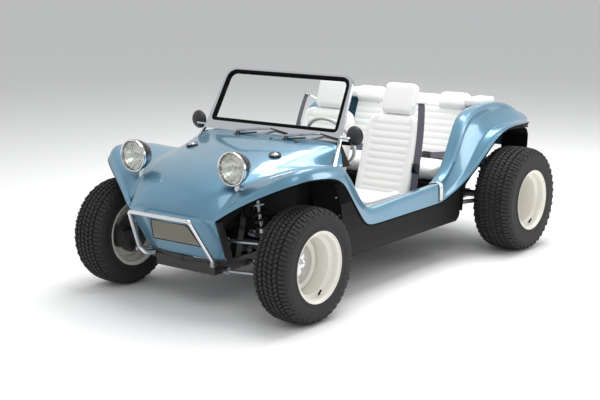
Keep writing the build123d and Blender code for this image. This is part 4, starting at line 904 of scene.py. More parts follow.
def fluted_lens(name, centre):
    """A domed lamp glass with upright flutes on its inner face."""
    rows = []
    for i in range(LENS_COLUMNS + 1):
        u = 2 * i / LENS_COLUMNS - 1
        row = []
        for j in range(LENS_ROWS + 1):
            v = 2 * j / LENS_ROWS - 1
            x = u * math.sqrt(1 - v * v / 2) * LENS_RADIUS
            z = v * math.sqrt(1 - u * u / 2) * LENS_RADIUS
            edge = 1 - (x * x + z * z) / LENS_RADIUS**2
            flute = FLUTE_DEPTH * math.cos(math.pi * FLUTES * x / LENS_RADIUS) * min(1, 4 * max(0, edge))
            row.append((centre[0] + x, centre[1] - LENS_SET - LENS_DOME * edge + flute, centre[2] + z))
        rows.append(row)
    lens = lay_grid(name, rows)
    merge(lens)
    wall(lens, LENS_WALL)
    return lens


class BUGGY_OT_lamps(bpy.types.Operator):
    """Model the headlamps with bowl, rim, fluted lens, reflector, bulb and foot"""

    bl_idname = "buggy.lamps"
    bl_label = "Lamps"

    def execute(self, context):
        bowls, rims, lenses, reflectors, bulbs, feet = [], [], [], [], [], []
        sheet = [(reach - REFLECTOR_SHEET, radius) for reach, radius in reversed(REFLECTOR)]
        for side in SIDES:
            centre = sided(side, LAMP)
            place = along(centre, AHEAD)
            bowls.append(turned("bowl", BOWL, place))
            rims.append(turned("rim", BEZEL, place, 72))
            lenses.append(fluted_lens("lens", centre))
            reflectors.append(turned("cup", REFLECTOR + sheet, place))
            bulbs.append(turned("bulb", BULB, place, 24))
            feet.append(turned("foot", LAMP_FOOT, along(sided(side, LAMP_FOOT_PLACE), UP), 32))
        shell = join("headlamp_bowls", bowls)
        finish(shell, gloss_black_plastic, replaces=("headlamp_shells",))
        finish(join("headlamp_bezels", rims), chrome_plate, replaces=("headlamp_rims",))
        glass = join("headlamp_glasses", lenses)
        finish(glass, pressed_lens_glass, replaces=("headlamp_lenses",))
        finish(join("headlamp_reflectors", reflectors), aluminised_reflector)
        finish(join("headlamp_bulbs", bulbs), float_glass)
        finish(join("headlamp_feet", feet), chrome_plate)
        return {"FINISHED"}


GRILLE = (0, -1480, 474)
GRILLE_LEAN = math.radians(26.7)
GRILLE_TOP = 141
GRILLE_LOW = 190
GRILLE_HEIGHT = 146
GRILLE_SET = 5
WIRE_LIFT = 1.2
# Dark plate behind the wires, painted shade in the grille's opening: how far back, and its top's and foot's
# rise
SHADE_PLATE_SET = 14
SHADE_PLATE_RISE = (10, -16)


class BUGGY_OT_nose_fittings(bpy.types.Operator):
    """Model the woven grille, its border and the dark plate behind it that paints the opening's shade"""

    bl_idname = "buggy.nose_fittings"
    bl_label = "Nose fittings"

    def execute(self, context):
        up = Vector((0, -math.sin(GRILLE_LEAN), math.cos(GRILLE_LEAN)))
        out = Vector((0, -math.cos(GRILLE_LEAN), -math.sin(GRILLE_LEAN)))
        centre = Vector(GRILLE) - out * GRILLE_SET
        pitch = sizes().wire_pitch / MM
        wires = []
        for i in range(int(GRILLE_HEIGHT / pitch) + 1):
            v = i * pitch - GRILLE_HEIGHT / 2
            half = GRILLE_LOW + (GRILLE_TOP - GRILLE_LOW) * (v / GRILLE_HEIGHT + 0.5)
            ends = [centre + up * v + Vector((side * half, 0, 0)) + out * WIRE_LIFT for side in (-1, 1)]
            wires.append(tube("wire", ends, sizes().wire, sides=1))
        for i in range(-int(GRILLE_LOW / pitch), int(GRILLE_LOW / pitch) + 1):
            x = i * pitch
            reach = 0.5
            if abs(x) > GRILLE_TOP:
                reach = (GRILLE_LOW - abs(x)) / (GRILLE_LOW - GRILLE_TOP) - 0.5
            foot = centre + Vector((x, 0, 0)) - out * WIRE_LIFT
            ends = [foot + up * GRILLE_HEIGHT * v for v in (-0.5, reach)]
            wires.append(tube("wire", ends, sizes().wire, sides=1))
        finish(join("grille_wires", wires), woven_wire, replaces=("grille",))
        corners = []
        for v, half in ((0.5, GRILLE_TOP), (-0.5, GRILLE_LOW)):
            level = centre + up * GRILLE_HEIGHT * v
            corners.append([level + Vector((side * half, 0, 0)) for side in (-1, 1)])
        loop = [corners[0][0], corners[0][1], corners[1][1], corners[1][0]]
        border = tube("grille_border", loop, 0.004, closed=True, sides=2)
        finish(border, extruded_rubber)
        # The dark plate is painted shade: it stands in for the shadowed recess behind the wires
        shade_rows = []
        for pair, rise in zip(corners, SHADE_PLATE_RISE):
            shade_rows.append([corner - out * SHADE_PLATE_SET + up * rise for corner in pair])
        sheet = lay_grid("grille_shadow_plate", shade_rows)
        wall(sheet, SHEET_WALL)
        finish(sheet, satin_black_paint)
        return {"FINISHED"}


# Axles: end, track, axle, radius, width, rim width, tread width, disc, pitches of the tread
AXLES = (
    ("front", 720, -1175, 333, 240, 226, 210, -40, 38),
    ("rear", 829, 1095, 359, 285, 278, 252, -72, 40),
)
RIM_SHEET = 5
DISC_SHEET = 6
# Tread blocks of one pitch: across from and to in half treads, around from and to and slant in pitches
BLOCKS = (
    (-0.30, -0.03, 0.03, 0.44, 0.22), (-0.27, -0.05, 0.53, 0.95, 0.22),
    (0.04, 0.28, 0.22, 0.64, 0.22), (0.03, 0.30, 0.73, 1.14, 0.22),
    (-0.63, -0.36, 0.18, 0.58, -0.24), (-0.60, -0.37, 0.68, 1.10, -0.24),
    (0.37, 0.60, 0.04, 0.46, -0.24), (0.36, 0.63, 0.56, 0.96, -0.24),
    (-1.04, -0.70, 0.05, 0.43, 0.10), (-1.12, -0.69, 0.52, 0.94, 0.10),
    (0.69, 1.12, 0.18, 0.60, 0.10), (0.70, 1.04, 0.69, 1.07, 0.10),
)
BLOCK_DRAFT = 0.02
BLOCK_ROOT = 8
BLOCK_EDGE = 0.0012
# Fall of the tread towards its edge, and its steeper fall past the shoulder, in millimetres
CROWN_FALL = 10
SHOULDER = 0.96
SHOULDER_FALL = 130


def tread_block(block, radius, half_tread, pitch, depth):
    """One tread block as a cube laid on the tyre's crown, in the wheel's own frame."""
    across0, across1, around0, around1, slant = block
    deselect()
    bpy.ops.mesh.primitive_cube_add(size=2)
    piece = named("block")
    for vertex in piece.data.vertices:
        x, y, z = vertex.co
        draft = BLOCK_DRAFT if z > 0 else 0
        across = (across0 + across1) / 2 + x * ((across1 - across0) / 2 - draft)
        around = (around0 + around1) / 2 + y * ((around1 - around0) / 2 - draft) + slant * x * 0.5
        crown = radius - CROWN_FALL * min(1, abs(across)) ** 3
        crown -= max(0, abs(across) - SHOULDER) * SHOULDER_FALL
        height = crown if z > 0 else crown - depth - BLOCK_ROOT
        turn = around * pitch
        vertex.co = Vector((height * math.cos(turn), height * math.sin(turn), across * half_tread)) * MM
    modify(piece, "BEVEL", width=BLOCK_EDGE, segments=1)
    return piece


def make_tyre(name, place, radius, width, rim, tread, pitches):
    """A tyre's carcass with its block tread."""
    half, crown, seat = width / 2, tread / 2, rim / 2
    depth = sizes().tread_depth / MM
    outer = (
        (seat - 12, 206), (seat + 1, 209), (seat + 5, 216), (seat + 4, 222), (half - 7, 232), (half - 2, 246),
        (half, 250), (half - 2, 254), (half - 1, 268), (half - 1, radius - 62), (half + 1, radius - 58),
        (half - 2, radius - 54), (half - 4, radius - 44), (crown + 8, radius - 32), (crown, radius - 24),
        (crown - 10, radius - 13 - depth / 2), (crown * 0.6, radius - depth - 4),
        (crown * 0.2, radius - depth - 1),
    )
    section = [*outer, *[(-a, r) for a, r in reversed(outer)]]
    inner = (
        (seat - 14, 214), (half - 18, 240), (half - 14, 280), (crown, radius - 46),
        (crown * 0.4, radius - 32),
    )
    section += [(-a, r) for a, r in inner] + list(reversed(inner))
    carcass = turned("carcass", section, place, 48)
    smooth(carcass, 1)
    pitch = math.tau / pitches
    blocks = join("blocks", [tread_block(block, radius, crown, pitch, depth) for block in BLOCKS])
    edit_all(blocks)
    bpy.ops.mesh.spin(
        steps=pitches - 1, dupli=True, angle=pitch * (pitches - 1), center=(0, 0, 0), axis=(0, 0, 1)
    )
    bpy.ops.object.mode_set(mode="OBJECT")
    merge(blocks, 0.00001)
    blocks.data.transform(place)
    return join(name, [carcass, blocks])


def make_rim(name, place, rim, disc):
    """A pressed steel rim: rolled lips, bead seats and well, with its dished centre."""
    seat = rim / 2
    line = [
        (seat + 2, 203), (seat + 2, 207), (seat - 1, 207.5), (seat - 4, 203), (seat - 7, 193),
        (seat - 12, 190), (seat - 44, 188), (seat - 54, 180), (seat - 62, 168), (seat - 72, 166),
    ]
    sheet = line + [(-a, r) for a, r in reversed(line)]
    under = [(a * (1 - 2 / seat), r - RIM_SHEET) for a, r in reversed(sheet[1:-1])]
    barrel = turned("barrel", sheet + under, place, 72)
    face = [
        (disc - 2, 163), (disc + 7, 156), (disc + 10, 146), (disc + 8, 136), (disc + 1, 126), (disc, 122),
        (disc, 28),
    ]
    rear = [(reach - DISC_SHEET, radius) for reach, radius in reversed(face)]
    dish = turned("dish", face + rear, place, 72)
    return join(name, [barrel, dish])


def make_cap(name, place, disc):
    """A domed wheel cap with a raised centre, on a disc."""
    shape = [*dome(13, 34, disc + 31, 4)]
    shape += [(disc + 6 + 24 * (1 - ((r - 38) / 78) ** 2), r) for r in (40, 60, 80, 100, 114)]
    shape += [(disc + 4, 117), (disc + 4, 121), (disc + 1, 122), (disc + 1, 0)]
    return turned(name, shape, place, 64)


class BUGGY_OT_wheels(bpy.types.Operator):
    """Model the four tyres, rims, caps and valve stems"""

    bl_idname = "buggy.wheels"
    bl_label = "Wheels"

    def execute(self, context):
        for end, track, axle_y, radius, width, rim, tread, disc, pitches in AXLES:
            for side in SIDES:
                corner = f"{end}_left" if side > 0 else f"{end}_right"
                body = f"wheel_{corner}"
                place = along((side * track, axle_y, radius), (side, 0, 0))
                tyre = make_tyre(f"{corner}_block_tyre", place, radius, width, rim, tread, pitches)
                finish(tyre, moulded_tyre_rubber, body, (f"{corner}_tyre",))
                dish = make_rim(f"{corner}_dished_rim", place, rim, disc)
                finish(dish, stoved_enamel, body, (f"{corner}_rim",))
                cap = make_cap(f"{corner}_domed_cap", place, disc)
                finish(cap, chrome_plate, body, (f"{corner}_hubcap",), angle=50)
                root = sided(side, (track + rim / 2 - 40, axle_y + 40, radius - 172))
                tip = sided(side, (track + rim / 2 - 20, axle_y + 36, radius - 142))
                stem = tube(f"{corner}_valve_stem", (root, tip), 0.0055, sides=3)
                finish(stem, extruded_rubber, body)
        return {"FINISHED"}


# Coil-overs: node, foot, head
COILOVERS = (
    ("front_coilovers", (470, -1175, 265), (376, -1175, 690)),
    ("rear_coilovers", (560, 1176, 356), (496, 1176, 760)),
)
COIL_RADIUS = 36
COIL_WIRE = 6.5
COIL_TURNS = 7
COIL_STEPS = 16
# Spring seats: above the foot and below the head
SPRING_SEATS = (78, 62)


class BUGGY_OT_suspension(bpy.types.Operator):
    """Model the coil-over dampers and their springs"""

    bl_idname = "buggy.suspension"
    bl_label = "Suspension"

    def execute(self, context):
        for node, foot, head in COILOVERS:
            springs, dampers = [], []
            for side in SIDES:
                low, high = sided(side, foot), sided(side, head)
                reach = (high - low).length
                place = along(low, high - low)
                profile = (
                    (0, 0), (0, 20), (60, 24), (70, 40), (76, 40), (78, 24), (reach * 0.55, 24),
                    (reach * 0.56, 11), (reach - 66, 11), (reach - 62, 40), (reach - 54, 40),
                    (reach - 50, 16), (reach, 14), (reach, 0),
                )
                dampers.append(turned("damper", profile, place, 32))
                count = COIL_TURNS * COIL_STEPS
                start, end = SPRING_SEATS[0] + COIL_WIRE, reach - SPRING_SEATS[1] - COIL_WIRE
                helix = []
                for i in range(count + 1):
                    turn = math.tau * i / COIL_STEPS
                    rise = start + (end - start) * i / count
                    helix.append((COIL_RADIUS * math.cos(turn), COIL_RADIUS * math.sin(turn), rise))
                spring = tube("spring", helix, COIL_WIRE * MM, order=4, sides=3)
                spring.data.transform(place)
                springs.append(spring)
            finish(join(f"{node}_dampers", dampers), zinc_plated_steel, replaces=(node,))
            finish(join(f"{node}_springs", springs), satin_black_paint)
        return {"FINISHED"}


def leaning(origin, recline):
    """A frame whose Y axis runs up a reclined back and whose Z axis points out of its padded face."""
    lean = math.radians(recline)
    up = Vector((0, math.sin(lean), math.cos(lean)))
    out = Vector((0, -math.cos(lean), math.sin(lean)))
    turn = Matrix((Vector((1, 0, 0)), up, out)).transposed().to_4x4()
    return Matrix.Translation(Vector(origin) * MM) @ turn


PAD_SIDES = 56
PAD_SQUARE = 0.34
# Steps over a rounded end, and points along a rib
PAD_ENDS = 7
RIB_POINTS = 8
RIB_CREST = 0.4
BOLSTER_EDGE = 0.16
TAPER_CURVE = 1.6


def squared(share):
    """A sine or cosine pushed out from a circle towards a square."""
    if abs(share) < 1e-9:
        return 0
    return math.copysign(abs(share) ** PAD_SQUARE, share)


def make_pad(
    name, place, length, half, thick, ribs=(0, 0), panel=0.66, bolster=0, taper=None, soft=0.45, crown=0
):
    """A padded form: rounded sections along its length, with welded ribs between smooth bolsters."""
    ease = soft * thick
    pitch, depth = sizes().rib_pitch / MM, sizes().rib_depth / MM
    stations = [ease * (1 - math.cos(math.pi / 2 * i / PAD_ENDS)) for i in range(PAD_ENDS + 1)]
    inner = max(4, int((length - 2 * ease) / (pitch / RIB_POINTS)))
    stations += [ease + (length - 2 * ease) * i / inner for i in range(1, inner)]
    stations += [length - s for s in reversed(stations[: PAD_ENDS + 1])]
    rows = []
    for s in stations:
        edge = min(s, length - s)
        inset = ease - math.sqrt(max(0, ease**2 - (ease - edge) ** 2)) if edge < ease else 0
        wide = half
        if taper and s > taper[0]:
            share = min(1, (s - taper[0]) / (length - taper[0]))
            wide = half + (taper[1] - half) * share**TAPER_CURVE
        row = []
        for j in range(PAD_SIDES + 1):
            turn = math.tau * j / PAD_SIDES
            u, v = squared(math.cos(turn)), squared(math.sin(turn))
            x = u * (wide - inset)
            z = v * (thick / 2 - inset)
            if v > 0:
                side = min(1, max(0, (abs(u) - panel) / BOLSTER_EDGE))
                side = side * side * (3 - 2 * side)
                swell = 1 - (inset / ease) ** 2 if ease else 1
                z += bolster * (side - 1) * v * swell
                z += crown * (1 - u * u) * math.sin(math.pi * s / length) * v
                if ribs[0] < s < ribs[1]:
                    wave = abs(math.sin(math.pi * (s - ribs[0]) / pitch)) ** RIB_CREST
                    z -= depth * (1 - wave) * (1 - side) * v
            row.append((x, s, z))
        rows.append(row)
    pad = lay_grid(name, rows)
    merge(pad)
    cap_ends(pad)
    pad.data.transform(place)
    return pad


SEAT_X = 280
SEAT_BACK = (196, 420)
SEAT_RECLINE = 19
BENCH_BACK = (935, 498)
BENCH_RECLINE = 22.8
REST_X = 356
# Pads: length, half width and thickness, span of the ribs, share of the width they take, side pads and taper
CUSHION = {"length": 415, "half": 217, "thick": 98, "ribs": (60, 400), "panel": 0.7, "bolster": 22}
BACK = {"length": 592, "half": 212, "thick": 98, "ribs": (36, 564), "bolster": 16, "taper": (470, 168)}
REST = {"length": 214, "half": 118, "thick": 84, "soft": 0.4, "crown": 3}
BENCH_REST = {**REST, "length": 122, "half": 114, "thick": 92}
BENCH_CUSHION = {"length": 300, "half": 473, "thick": 126, "ribs": (40, 270), "panel": 0.9, "bolster": 8}
BENCH_PAD = {**BENCH_CUSHION, "length": 466, "thick": 96, "ribs": (36, 372), "soft": 0.3}
BENCH_WING = {"length": 218, "half": 68, "thick": 58, "soft": 0.4}
# Nodes that the pads stand for: those with a pad on each side, then the bench's
SEAT_NODES = ("front_seat_cushions", "front_seat_backs", "front_headrests", "rear_headrests")
BENCH_NODES = ("rear_seat_cushion", "rear_seat_back")
STEM_X = 42


def upright(origin, recline, up, forward):
    """A leaning frame moved up along the back and forward out of it, in millimetres."""
    return leaning(origin, recline) @ Matrix.Translation(Vector((0, up, forward)) * MM)


def flat(x, y, z):
    """A frame whose padded face looks up and whose length runs to the back."""
    return Matrix.Translation(Vector((x, y, z)) * MM)


class BUGGY_OT_seats(bpy.types.Operator):
    """Model the front seats and the rear bench with their headrests"""

    bl_idname = "buggy.seats"
    bl_label = "Seats"

    def execute(self, context):
        groups = {node: [] for node in SEAT_NODES + BENCH_NODES}
        stems = []
        for side in SIDES:
            x = side * SEAT_X
            back = (x, *SEAT_BACK)
            bench = (side * REST_X, *BENCH_BACK)
            pads = (
                make_pad("cushion", flat(x, -233, 469), **CUSHION),
                make_pad("back", upright(back, SEAT_RECLINE, 8, -50), **BACK),
                make_pad("rest", upright(back, SEAT_RECLINE, 602, -50), **REST),
                make_pad("rest", upright(bench, BENCH_RECLINE, 458, 74), **BENCH_REST),
            )
            for node, pad in zip(SEAT_NODES, pads):
                groups[node].append(pad)
            for dx in (-STEM_X, STEM_X):
                stem = tube("stem", ((dx, -50, -50), (dx, 40, -50)), 0.006, sides=3)
                stem.data.transform(upright(back, SEAT_RECLINE, 616, 0))
                stems.append(stem)
        groups["rear_seat_cushion"].append(make_pad("cushion", flat(0, 609, 561), **BENCH_CUSHION))
        bench = upright((0, *BENCH_BACK), BENCH_RECLINE, 96, 50)
        groups["rear_seat_back"].append(make_pad("back", bench, **BENCH_PAD))
        for side in SIDES:
            groups["rear_seat_back"].append(make_pad("wing", flat(side * 522, 1005, 1012), **BENCH_WING))
        for node, pads in groups.items():
            cover = join(f"{node}_upholstery", pads)
            pad = finish(cover, grained_vinyl, replaces=(node,), angle=60)
        finish(join("headrest_stems", stems), chrome_plate)
        return {"FINISHED"}


# Straps: middle line from the foot up; the lap belt of the bench
BELT = (
    (518, 264, 440), (518, 279, 527), (518, 300, 648), (517, 352, 830), (486, 414, 1040), (476, 424, 1062),
)
BELT_WAY = (0.93, 0.36, 0.04)
LAP_BELT = ((150, 872, 634), (240, 876, 632), (340, 882, 640), (440, 888, 660), (500, 892, 690))
LAP_WAY = (0, 0.55, 0.83)
BELT_HALF = 23
BELT_WALL = 0.0025
BUCKLE_AT = 2
GUIDE_HALF = 32
GUIDE_STAY = (-78, 14, -34)
LAP_BUCKLE_HALF = 34
LAP_BUCKLE_RISE = 3
LAP_BUCKLE_UP = (0, -0.8, 0.6)


class BUGGY_OT_belts(bpy.types.Operator):
    """Model the seat belts with their buckles and guides"""

    bl_idname = "buggy.belts"
    bl_label = "Seat belts"

    def execute(self, context):
        straps, metal, buckles = [], [], []
        for side in SIDES:
            for line, way in ((BELT, BELT_WAY), (LAP_BELT, LAP_WAY)):
                across = sided(side, way) * BELT_HALF
                knots = [sided(side, point) for point in line]
                strap = lay_grid("strap", [[knot - across, knot, knot + across] for knot in knots])
                smooth(strap, 2)
                merge(strap)
                wall(strap, BELT_WALL, 0)
                straps.append(strap)
            low, high = (sided(side, point) for point in BELT[BUCKLE_AT - 1 : BUCKLE_AT + 1])
            across = sided(side, BELT_WAY)
            up = (high - low).normalized()
            buckles.append(bar("buckle", high - up * 34, high + up * 30, 52, 16, across.cross(up), 0.004))
            guide = sided(side, BELT[-1])
            metal.append(bar("guide", guide - across * GUIDE_HALF, guide + across * GUIDE_HALF, 22, 7, up))
            metal.append(tube("guide_stay", (guide, guide + sided(side, GUIDE_STAY)), 0.006, sides=3))
            lap = sided(side, LAP_BELT[1]) + Vector((0, 0, LAP_BUCKLE_RISE))
            half = Vector((LAP_BUCKLE_HALF, 0, 0))
            buckles.append(bar("buckle", lap - half, lap + half, 50, 15, LAP_BUCKLE_UP, 0.004))
        finish(join("seat_belt_straps", straps), woven_webbing, replaces=("seat_belts",))
        finish(join("seat_belt_buckles", buckles), gloss_black_plastic)
        finish(join("seat_belt_guides", metal), chrome_plate)
        return {"FINISHED"}


WHEEL_CENTRE = (280, -320, 884)
WHEEL_WAY = (0, 0.894934, 0.446198)
WHEEL_DOWN = (0, 0.446198, -0.894934)
WHEEL_RADIUS = 172
WHEEL_RIM = 12.5
WHEEL_SIDES = 14
# Spokes: ways from the centre, start, end, set back at the start
SPOKE_WAYS = ((1, 0, 0), (-1, 0, 0), WHEEL_DOWN)
SPOKE = (26, 166, 6)
# Turned sections, as distances along the axis and radii
WHEEL_BOSS = (*dome(10, 24, 10, 5), (8, 32), (2, 34), (-16, 34), (-18, 12), (-100, 12), (-100, 0))
MIRROR = (625, -543, 978)
MIRROR_SHELL = (*dome(34, 59, 8), (2, 59.5), (0, 58), (0, 54), (4, 52), (4, 0))
MIRROR_GLASS = ((1, 0), (1, 52.5), (3.5, 52.5), (3.5, 0))
WIPER = (193, -664, 934)
WIPER_WAY = (0, -0.1, 1)
WIPER_BOOT = ((-12, 0), (-12, 22), (2, 21), (14, 13), (22, 9), (24, 0))
# Bars of a wiper: name, start and end from the pivot, width, depth, edge radius in metres; the first is a
# black bar under the arm that stands for its dark underside and the painted shade beneath it
WIPER_BARS = (
    ("underside_shade_bar", (-26, -8, -3), (124, 34, 15), 11, 10, 0.003),
    ("arm", (-12, -4, 20), (140, 40, 38), 18, 15, 0.004),
    ("rod", (130, 38, 36), (215, 66, 42), 12, 11, 0.003),
    ("blade", (215, 66, 42), (352, 58, 24), 6, 7, 0.0012),
)
SCREEN = (0, -583, 938)
SCREEN_UP = (0, 0.4863, 0.8738)
SCREEN_AHEAD = (0, -0.8738, 0.4863)
SCREEN_RISE = (58, 405)
# Half widths and corner radii: foot, top
SCREEN_HALF = (498, 484)
SCREEN_CORNERS = (22, 62)
CORNER_STEPS = 8
# Rubber section: over the frame's edge from the glass outwards, height above the screen's mid-plane
SEAL_SECTION = ((-17, 4), (-15, 11), (-8, 15), (0, 15.5), (6, 14), (8, 10.5))


def screen_loop(offset, reach):
    """The closed edge of the screen's opening, moved outwards by an offset and forwards by a reach."""
    low, high = SCREEN_RISE[0] - offset, SCREEN_RISE[1] + offset
    points = []
    for side, top, start in ((1, 1, 0), (-1, 1, 90), (-1, 0, 180), (1, 0, 270)):
        corner = SCREEN_CORNERS[top] + offset
        centre_x = side * (SCREEN_HALF[top] + offset - corner)
        centre_v = high - corner if top else low + corner
        for i in range(CORNER_STEPS + 1):
            turn = math.radians(start + 90 * i / CORNER_STEPS)
            across = Vector((centre_x + corner * math.cos(turn), 0, 0))
            rise = Vector(SCREEN_UP) * (centre_v + corner * math.sin(turn))
            points.append(Vector(SCREEN) + across + rise + Vector(SCREEN_AHEAD) * reach)
    return [*points, points[0]]


class BUGGY_OT_cabin(bpy.types.Operator):
    """Model the steering wheel, the screen's rubber, the mirrors and the wipers"""

    bl_idname = "buggy.cabin"
    bl_label = "Cabin and screen fittings"

    def execute(self, context):
        place = along(WHEEL_CENTRE, WHEEL_WAY)
        ring = []
        for i in range(WHEEL_SIDES):
            turn = math.tau * i / WHEEL_SIDES
            ring.append((WHEEL_RIM * math.sin(turn), WHEEL_RADIUS + WHEEL_RIM * math.cos(turn)))
        rim = turned("steering_wheel_rim", ring, place, 72)
        finish(rim, white_moulding, "steering_wheel", ("steering_wheel",), angle=60)
        centre = Vector(WHEEL_CENTRE)
        spokes = []
        inner, outer, back = SPOKE
        for way in SPOKE_WAYS:
            start = centre + Vector(way) * inner - Vector(WHEEL_WAY) * back
            spokes.append(bar("spoke", start, centre + Vector(way) * outer, 30, 4, WHEEL_WAY))
        finish(join("steering_wheel_spokes", spokes), polished_aluminium, "steering_wheel")
        boss = turned("steering_wheel_boss", WHEEL_BOSS, place, 40)
        finish(boss, satin_black_paint, "steering_wheel")

        under = [(offset, -reach) for offset, reach in reversed(SEAL_SECTION)]
        section = [*SEAL_SECTION, *under, SEAL_SECTION[0]]
        loops = [screen_loop(offset, reach) for offset, reach in section]
        seal = lay_grid("windscreen_rubber", [list(points) for points in zip(*loops)])
        merge(seal)
        finish(seal, extruded_rubber, replaces=("windscreen_seal",), angle=50)

        heads, glasses, pivots, arms, blades = [], [], [], [], []
        for side in SIDES:
            spot = along(sided(side, MIRROR), AHEAD)
            heads.append(turned("head", MIRROR_SHELL, spot, 48))
            glasses.append(turned("glass", MIRROR_GLASS, spot, 48))
            pivot = sided(side, WIPER)
            pivots.append(turned("pivot", WIPER_BOOT, along(pivot, WIPER_WAY), 28))
            bars = []
            for name, start, end, width, depth, edge in WIPER_BARS:
                ends = pivot + Vector(start), pivot + Vector(end)
                bars.append(bar(name, *ends, width, depth, round_edge=edge))
            # The black bar under the arm goes with the pivots: the arm's dark underside and painted shade
            # below it
            pivots.append(bars[0])
            arms += bars[1:3]
            blades.append(bars[3])
        shells = join("mirror_shells", heads)
        finish(shells, satin_black_plastic, replaces=("mirror_heads",), angle=50)
        finish(join("mirror_glasses", glasses), chrome_plate)
        finish(join("wiper_pivots", pivots), gloss_black_plastic)
        finish(join("wiper_arms", arms), polished_aluminium, replaces=("wipers",))
        finish(join("wiper_blades", blades), extruded_rubber)
        return {"FINISHED"}


# Finishes of the frame's own pieces
NODE_FINISHES = (
    (lacquered_metallic_paint, ("tail_panel",)),
    (grained_black_plastic, ("floor_tray", "dashboard", "sill_covers", "arch_liners")),
    (chrome_plate, ("front_bumper", "mirror_arms")),
    (sand_cast_iron, ("front_left_hub", "front_right_hub", "front_left_knuckle", "front_right_knuckle")),
    (sand_cast_iron, ("rear_left_axle", "rear_right_axle")),
    (zinc_plated_steel, ("front_suspension_arms", "rear_suspension_arms", "steering_rack")),
    (satin_black_paint, ("front_frame", "floor_rails", "rear_frame", "steering_column")),
    (cast_aluminium, ("drive_unit",)),
    (polished_aluminium, ("windscreen_frame",)),
    (float_glass, ("windscreen_glass",)),
    (moulded_red_lens, ("tail_lamps",)),
)


class BUGGY_OT_frame_finishes(bpy.types.Operator):
    """Give the frame's own pieces their finishes"""

    bl_idname = "buggy.frame_finishes"
    bl_label = "Frame finishes"

    def execute(self, context):
        for material, nodes in NODE_FINISHES:
            for node in nodes:
                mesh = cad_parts[node].data
                mesh.materials.clear()
                mesh.materials.append(material())
        return {"FINISHED"}


CAMERA_PLACE = (4.8055, -6.47, 2.08)
CAMERA_WAY = (-0.6006, 0.7737, -0.2016)
CAMERA_ROLL = -0.0045
CAMERA_LENS = 73.67
CAMERA_SENSOR = 36
# Floor: radius in metres, colours near and far, and where one fades into the other; the paler near colour and
# darker far colour are painted light and shade
FLOOR_RADIUS = 70
FLOOR_NEAR_LIT = "#fafafa"
FLOOR_FAR_SHADED = "#dedede"
FLOOR_FADE = (2.0, 13.0)
WORLD_COLOUR = "#e6e7e8"
WORLD_STRENGTH = 0.85
# Soft lamps: name, place, target, width and length in metres, watts
LAMPS = (
    ("key", (5.0, -5.5, 6.5), (0, -0.3, 0.6), (3.4, 3.4), 85),
    ("top", (0.6, 1.2, 5.0), (0.6, 1.0, 0.5), (2.4, 5.4), 210),
    ("side", (4.3, 4.1, 1.9), (0.68, 0.75, 0.75), (2.0, 2.0), 52),
    ("strip", (-1.45, 1.7, 4.6), (0.4, -1.0, 0.85), (1.0, 1.9), 34),
    ("right_fill", (-8.0, -5.5, 5.0), (0, -0.5, 0.6), (10.0, 10.0), 70),
)


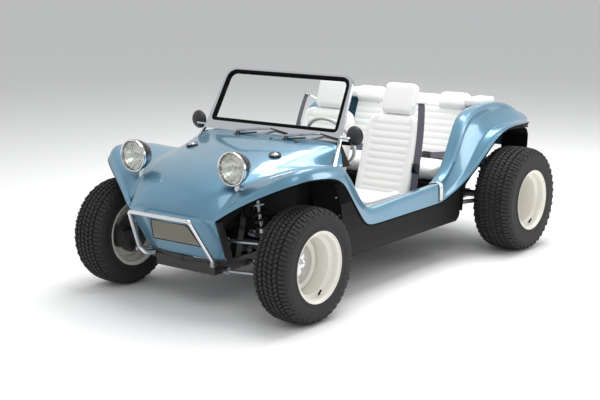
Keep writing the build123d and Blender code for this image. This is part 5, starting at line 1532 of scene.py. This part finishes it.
class BUGGY_OT_stage(bpy.types.Operator):
    """Set up the floor, the soft lamps, the world and the camera"""

    bl_idname = "buggy.stage"
    bl_label = "Stage"

    def execute(self, context):
        scene = context.scene
        scene.view_settings.view_transform = "Standard"
        deselect()
        bpy.ops.mesh.primitive_circle_add(vertices=96, radius=FLOOR_RADIUS, fill_type="NGON")
        floor = named("studio_floor")
        material, tree, shader = made("studio_floor", {"Roughness": 0.9, "Specular IOR Level": 0.1})
        # Painted shade: the floor's colour darkens with distance from the car
        place = add_node(tree, "ShaderNodeTexCoord").outputs["Object"]
        far = add_node(tree, "ShaderNodeVectorMath", {0: place}, operation="LENGTH")
        reach = {"Value": far.outputs["Value"], "From Min": FLOOR_FADE[0], "From Max": FLOOR_FADE[1]}
        fade = add_node(tree, "ShaderNodeMapRange", reach, interpolation_type="SMOOTHSTEP")
        tones = {"Color1": (*linear(FLOOR_NEAR_LIT), 1), "Color2": (*linear(FLOOR_FAR_SHADED), 1)}
        shade = add_node(tree, "ShaderNodeMixRGB", {"Fac": fade.outputs["Result"], **tones})
        tree.links.new(shade.outputs["Color"], shader.inputs["Base Color"])
        floor.data.materials.append(material)

        for name, at, target, size, watts in LAMPS:
            way = Vector(target) - Vector(at)
            deselect()
            turn = way.to_track_quat("-Z", "Y").to_euler()
            bpy.ops.object.light_add(type="AREA", location=at, rotation=turn)
            lamp = context.object
            lamp.name = name
            lamp.data.energy = watts
            lamp.data.shape = "RECTANGLE"
            lamp.data.size, lamp.data.size_y = size

        world = scene.world or bpy.data.worlds.new("studio")
        scene.world = world
        world.use_nodes = True
        sky = world.node_tree.nodes["Background"]
        sky.inputs["Color"].default_value = (*linear(WORLD_COLOUR), 1)
        sky.inputs["Strength"].default_value = WORLD_STRENGTH

        bpy.ops.object.camera_add(location=CAMERA_PLACE)
        camera = context.object
        turn = Vector(CAMERA_WAY).to_track_quat("-Z", "Y").to_matrix()
        camera.rotation_euler = (turn @ Matrix.Rotation(CAMERA_ROLL, 3, "Z")).to_euler()
        camera.data.lens = CAMERA_LENS
        camera.data.sensor_width = CAMERA_SENSOR
        scene.camera = camera
        return {"FINISHED"}


STEPS = (
    BUGGY_OT_front_body, BUGGY_OT_rear_body, BUGGY_OT_black_panels, BUGGY_OT_trim, BUGGY_OT_lamps,
    BUGGY_OT_nose_fittings, BUGGY_OT_wheels, BUGGY_OT_suspension, BUGGY_OT_seats, BUGGY_OT_belts,
    BUGGY_OT_cabin, BUGGY_OT_frame_finishes, BUGGY_OT_stage,
)


class BUGGY_PT_pieces(bpy.types.Panel):
    """Lists the buggy's pieces, sizes and colours"""

    bl_idname = "BUGGY_PT_pieces"
    bl_label = "Dune buggy"
    bl_space_type = "VIEW_3D"
    bl_region_type = "UI"
    bl_category = "Buggy"

    def draw(self, context):
        column = self.layout.column()
        for step in STEPS:
            column.operator(step.bl_idname)
        for group in (context.scene.buggy_sizes, context.scene.buggy_colours):
            for key in group.bl_rna.properties.keys():
                if key not in ("rna_type", "name"):
                    column.prop(group, key)


CLASSES = (BuggyColours, BuggySizes, *STEPS, BUGGY_PT_pieces)


def register():
    for item in CLASSES:
        bpy.utils.register_class(item)
    bpy.types.Scene.buggy_colours = bpy.props.PointerProperty(type=BuggyColours)
    bpy.types.Scene.buggy_sizes = bpy.props.PointerProperty(type=BuggySizes)


def unregister():
    del bpy.types.Scene.buggy_colours
    del bpy.types.Scene.buggy_sizes
    for item in reversed(CLASSES):
        bpy.utils.unregister_class(item)


def main():
    register()
    for step in STEPS:
        group, name = step.bl_idname.split(".")
        getattr(getattr(bpy.ops, group), name)()


if __name__ == "__main__":
    main()
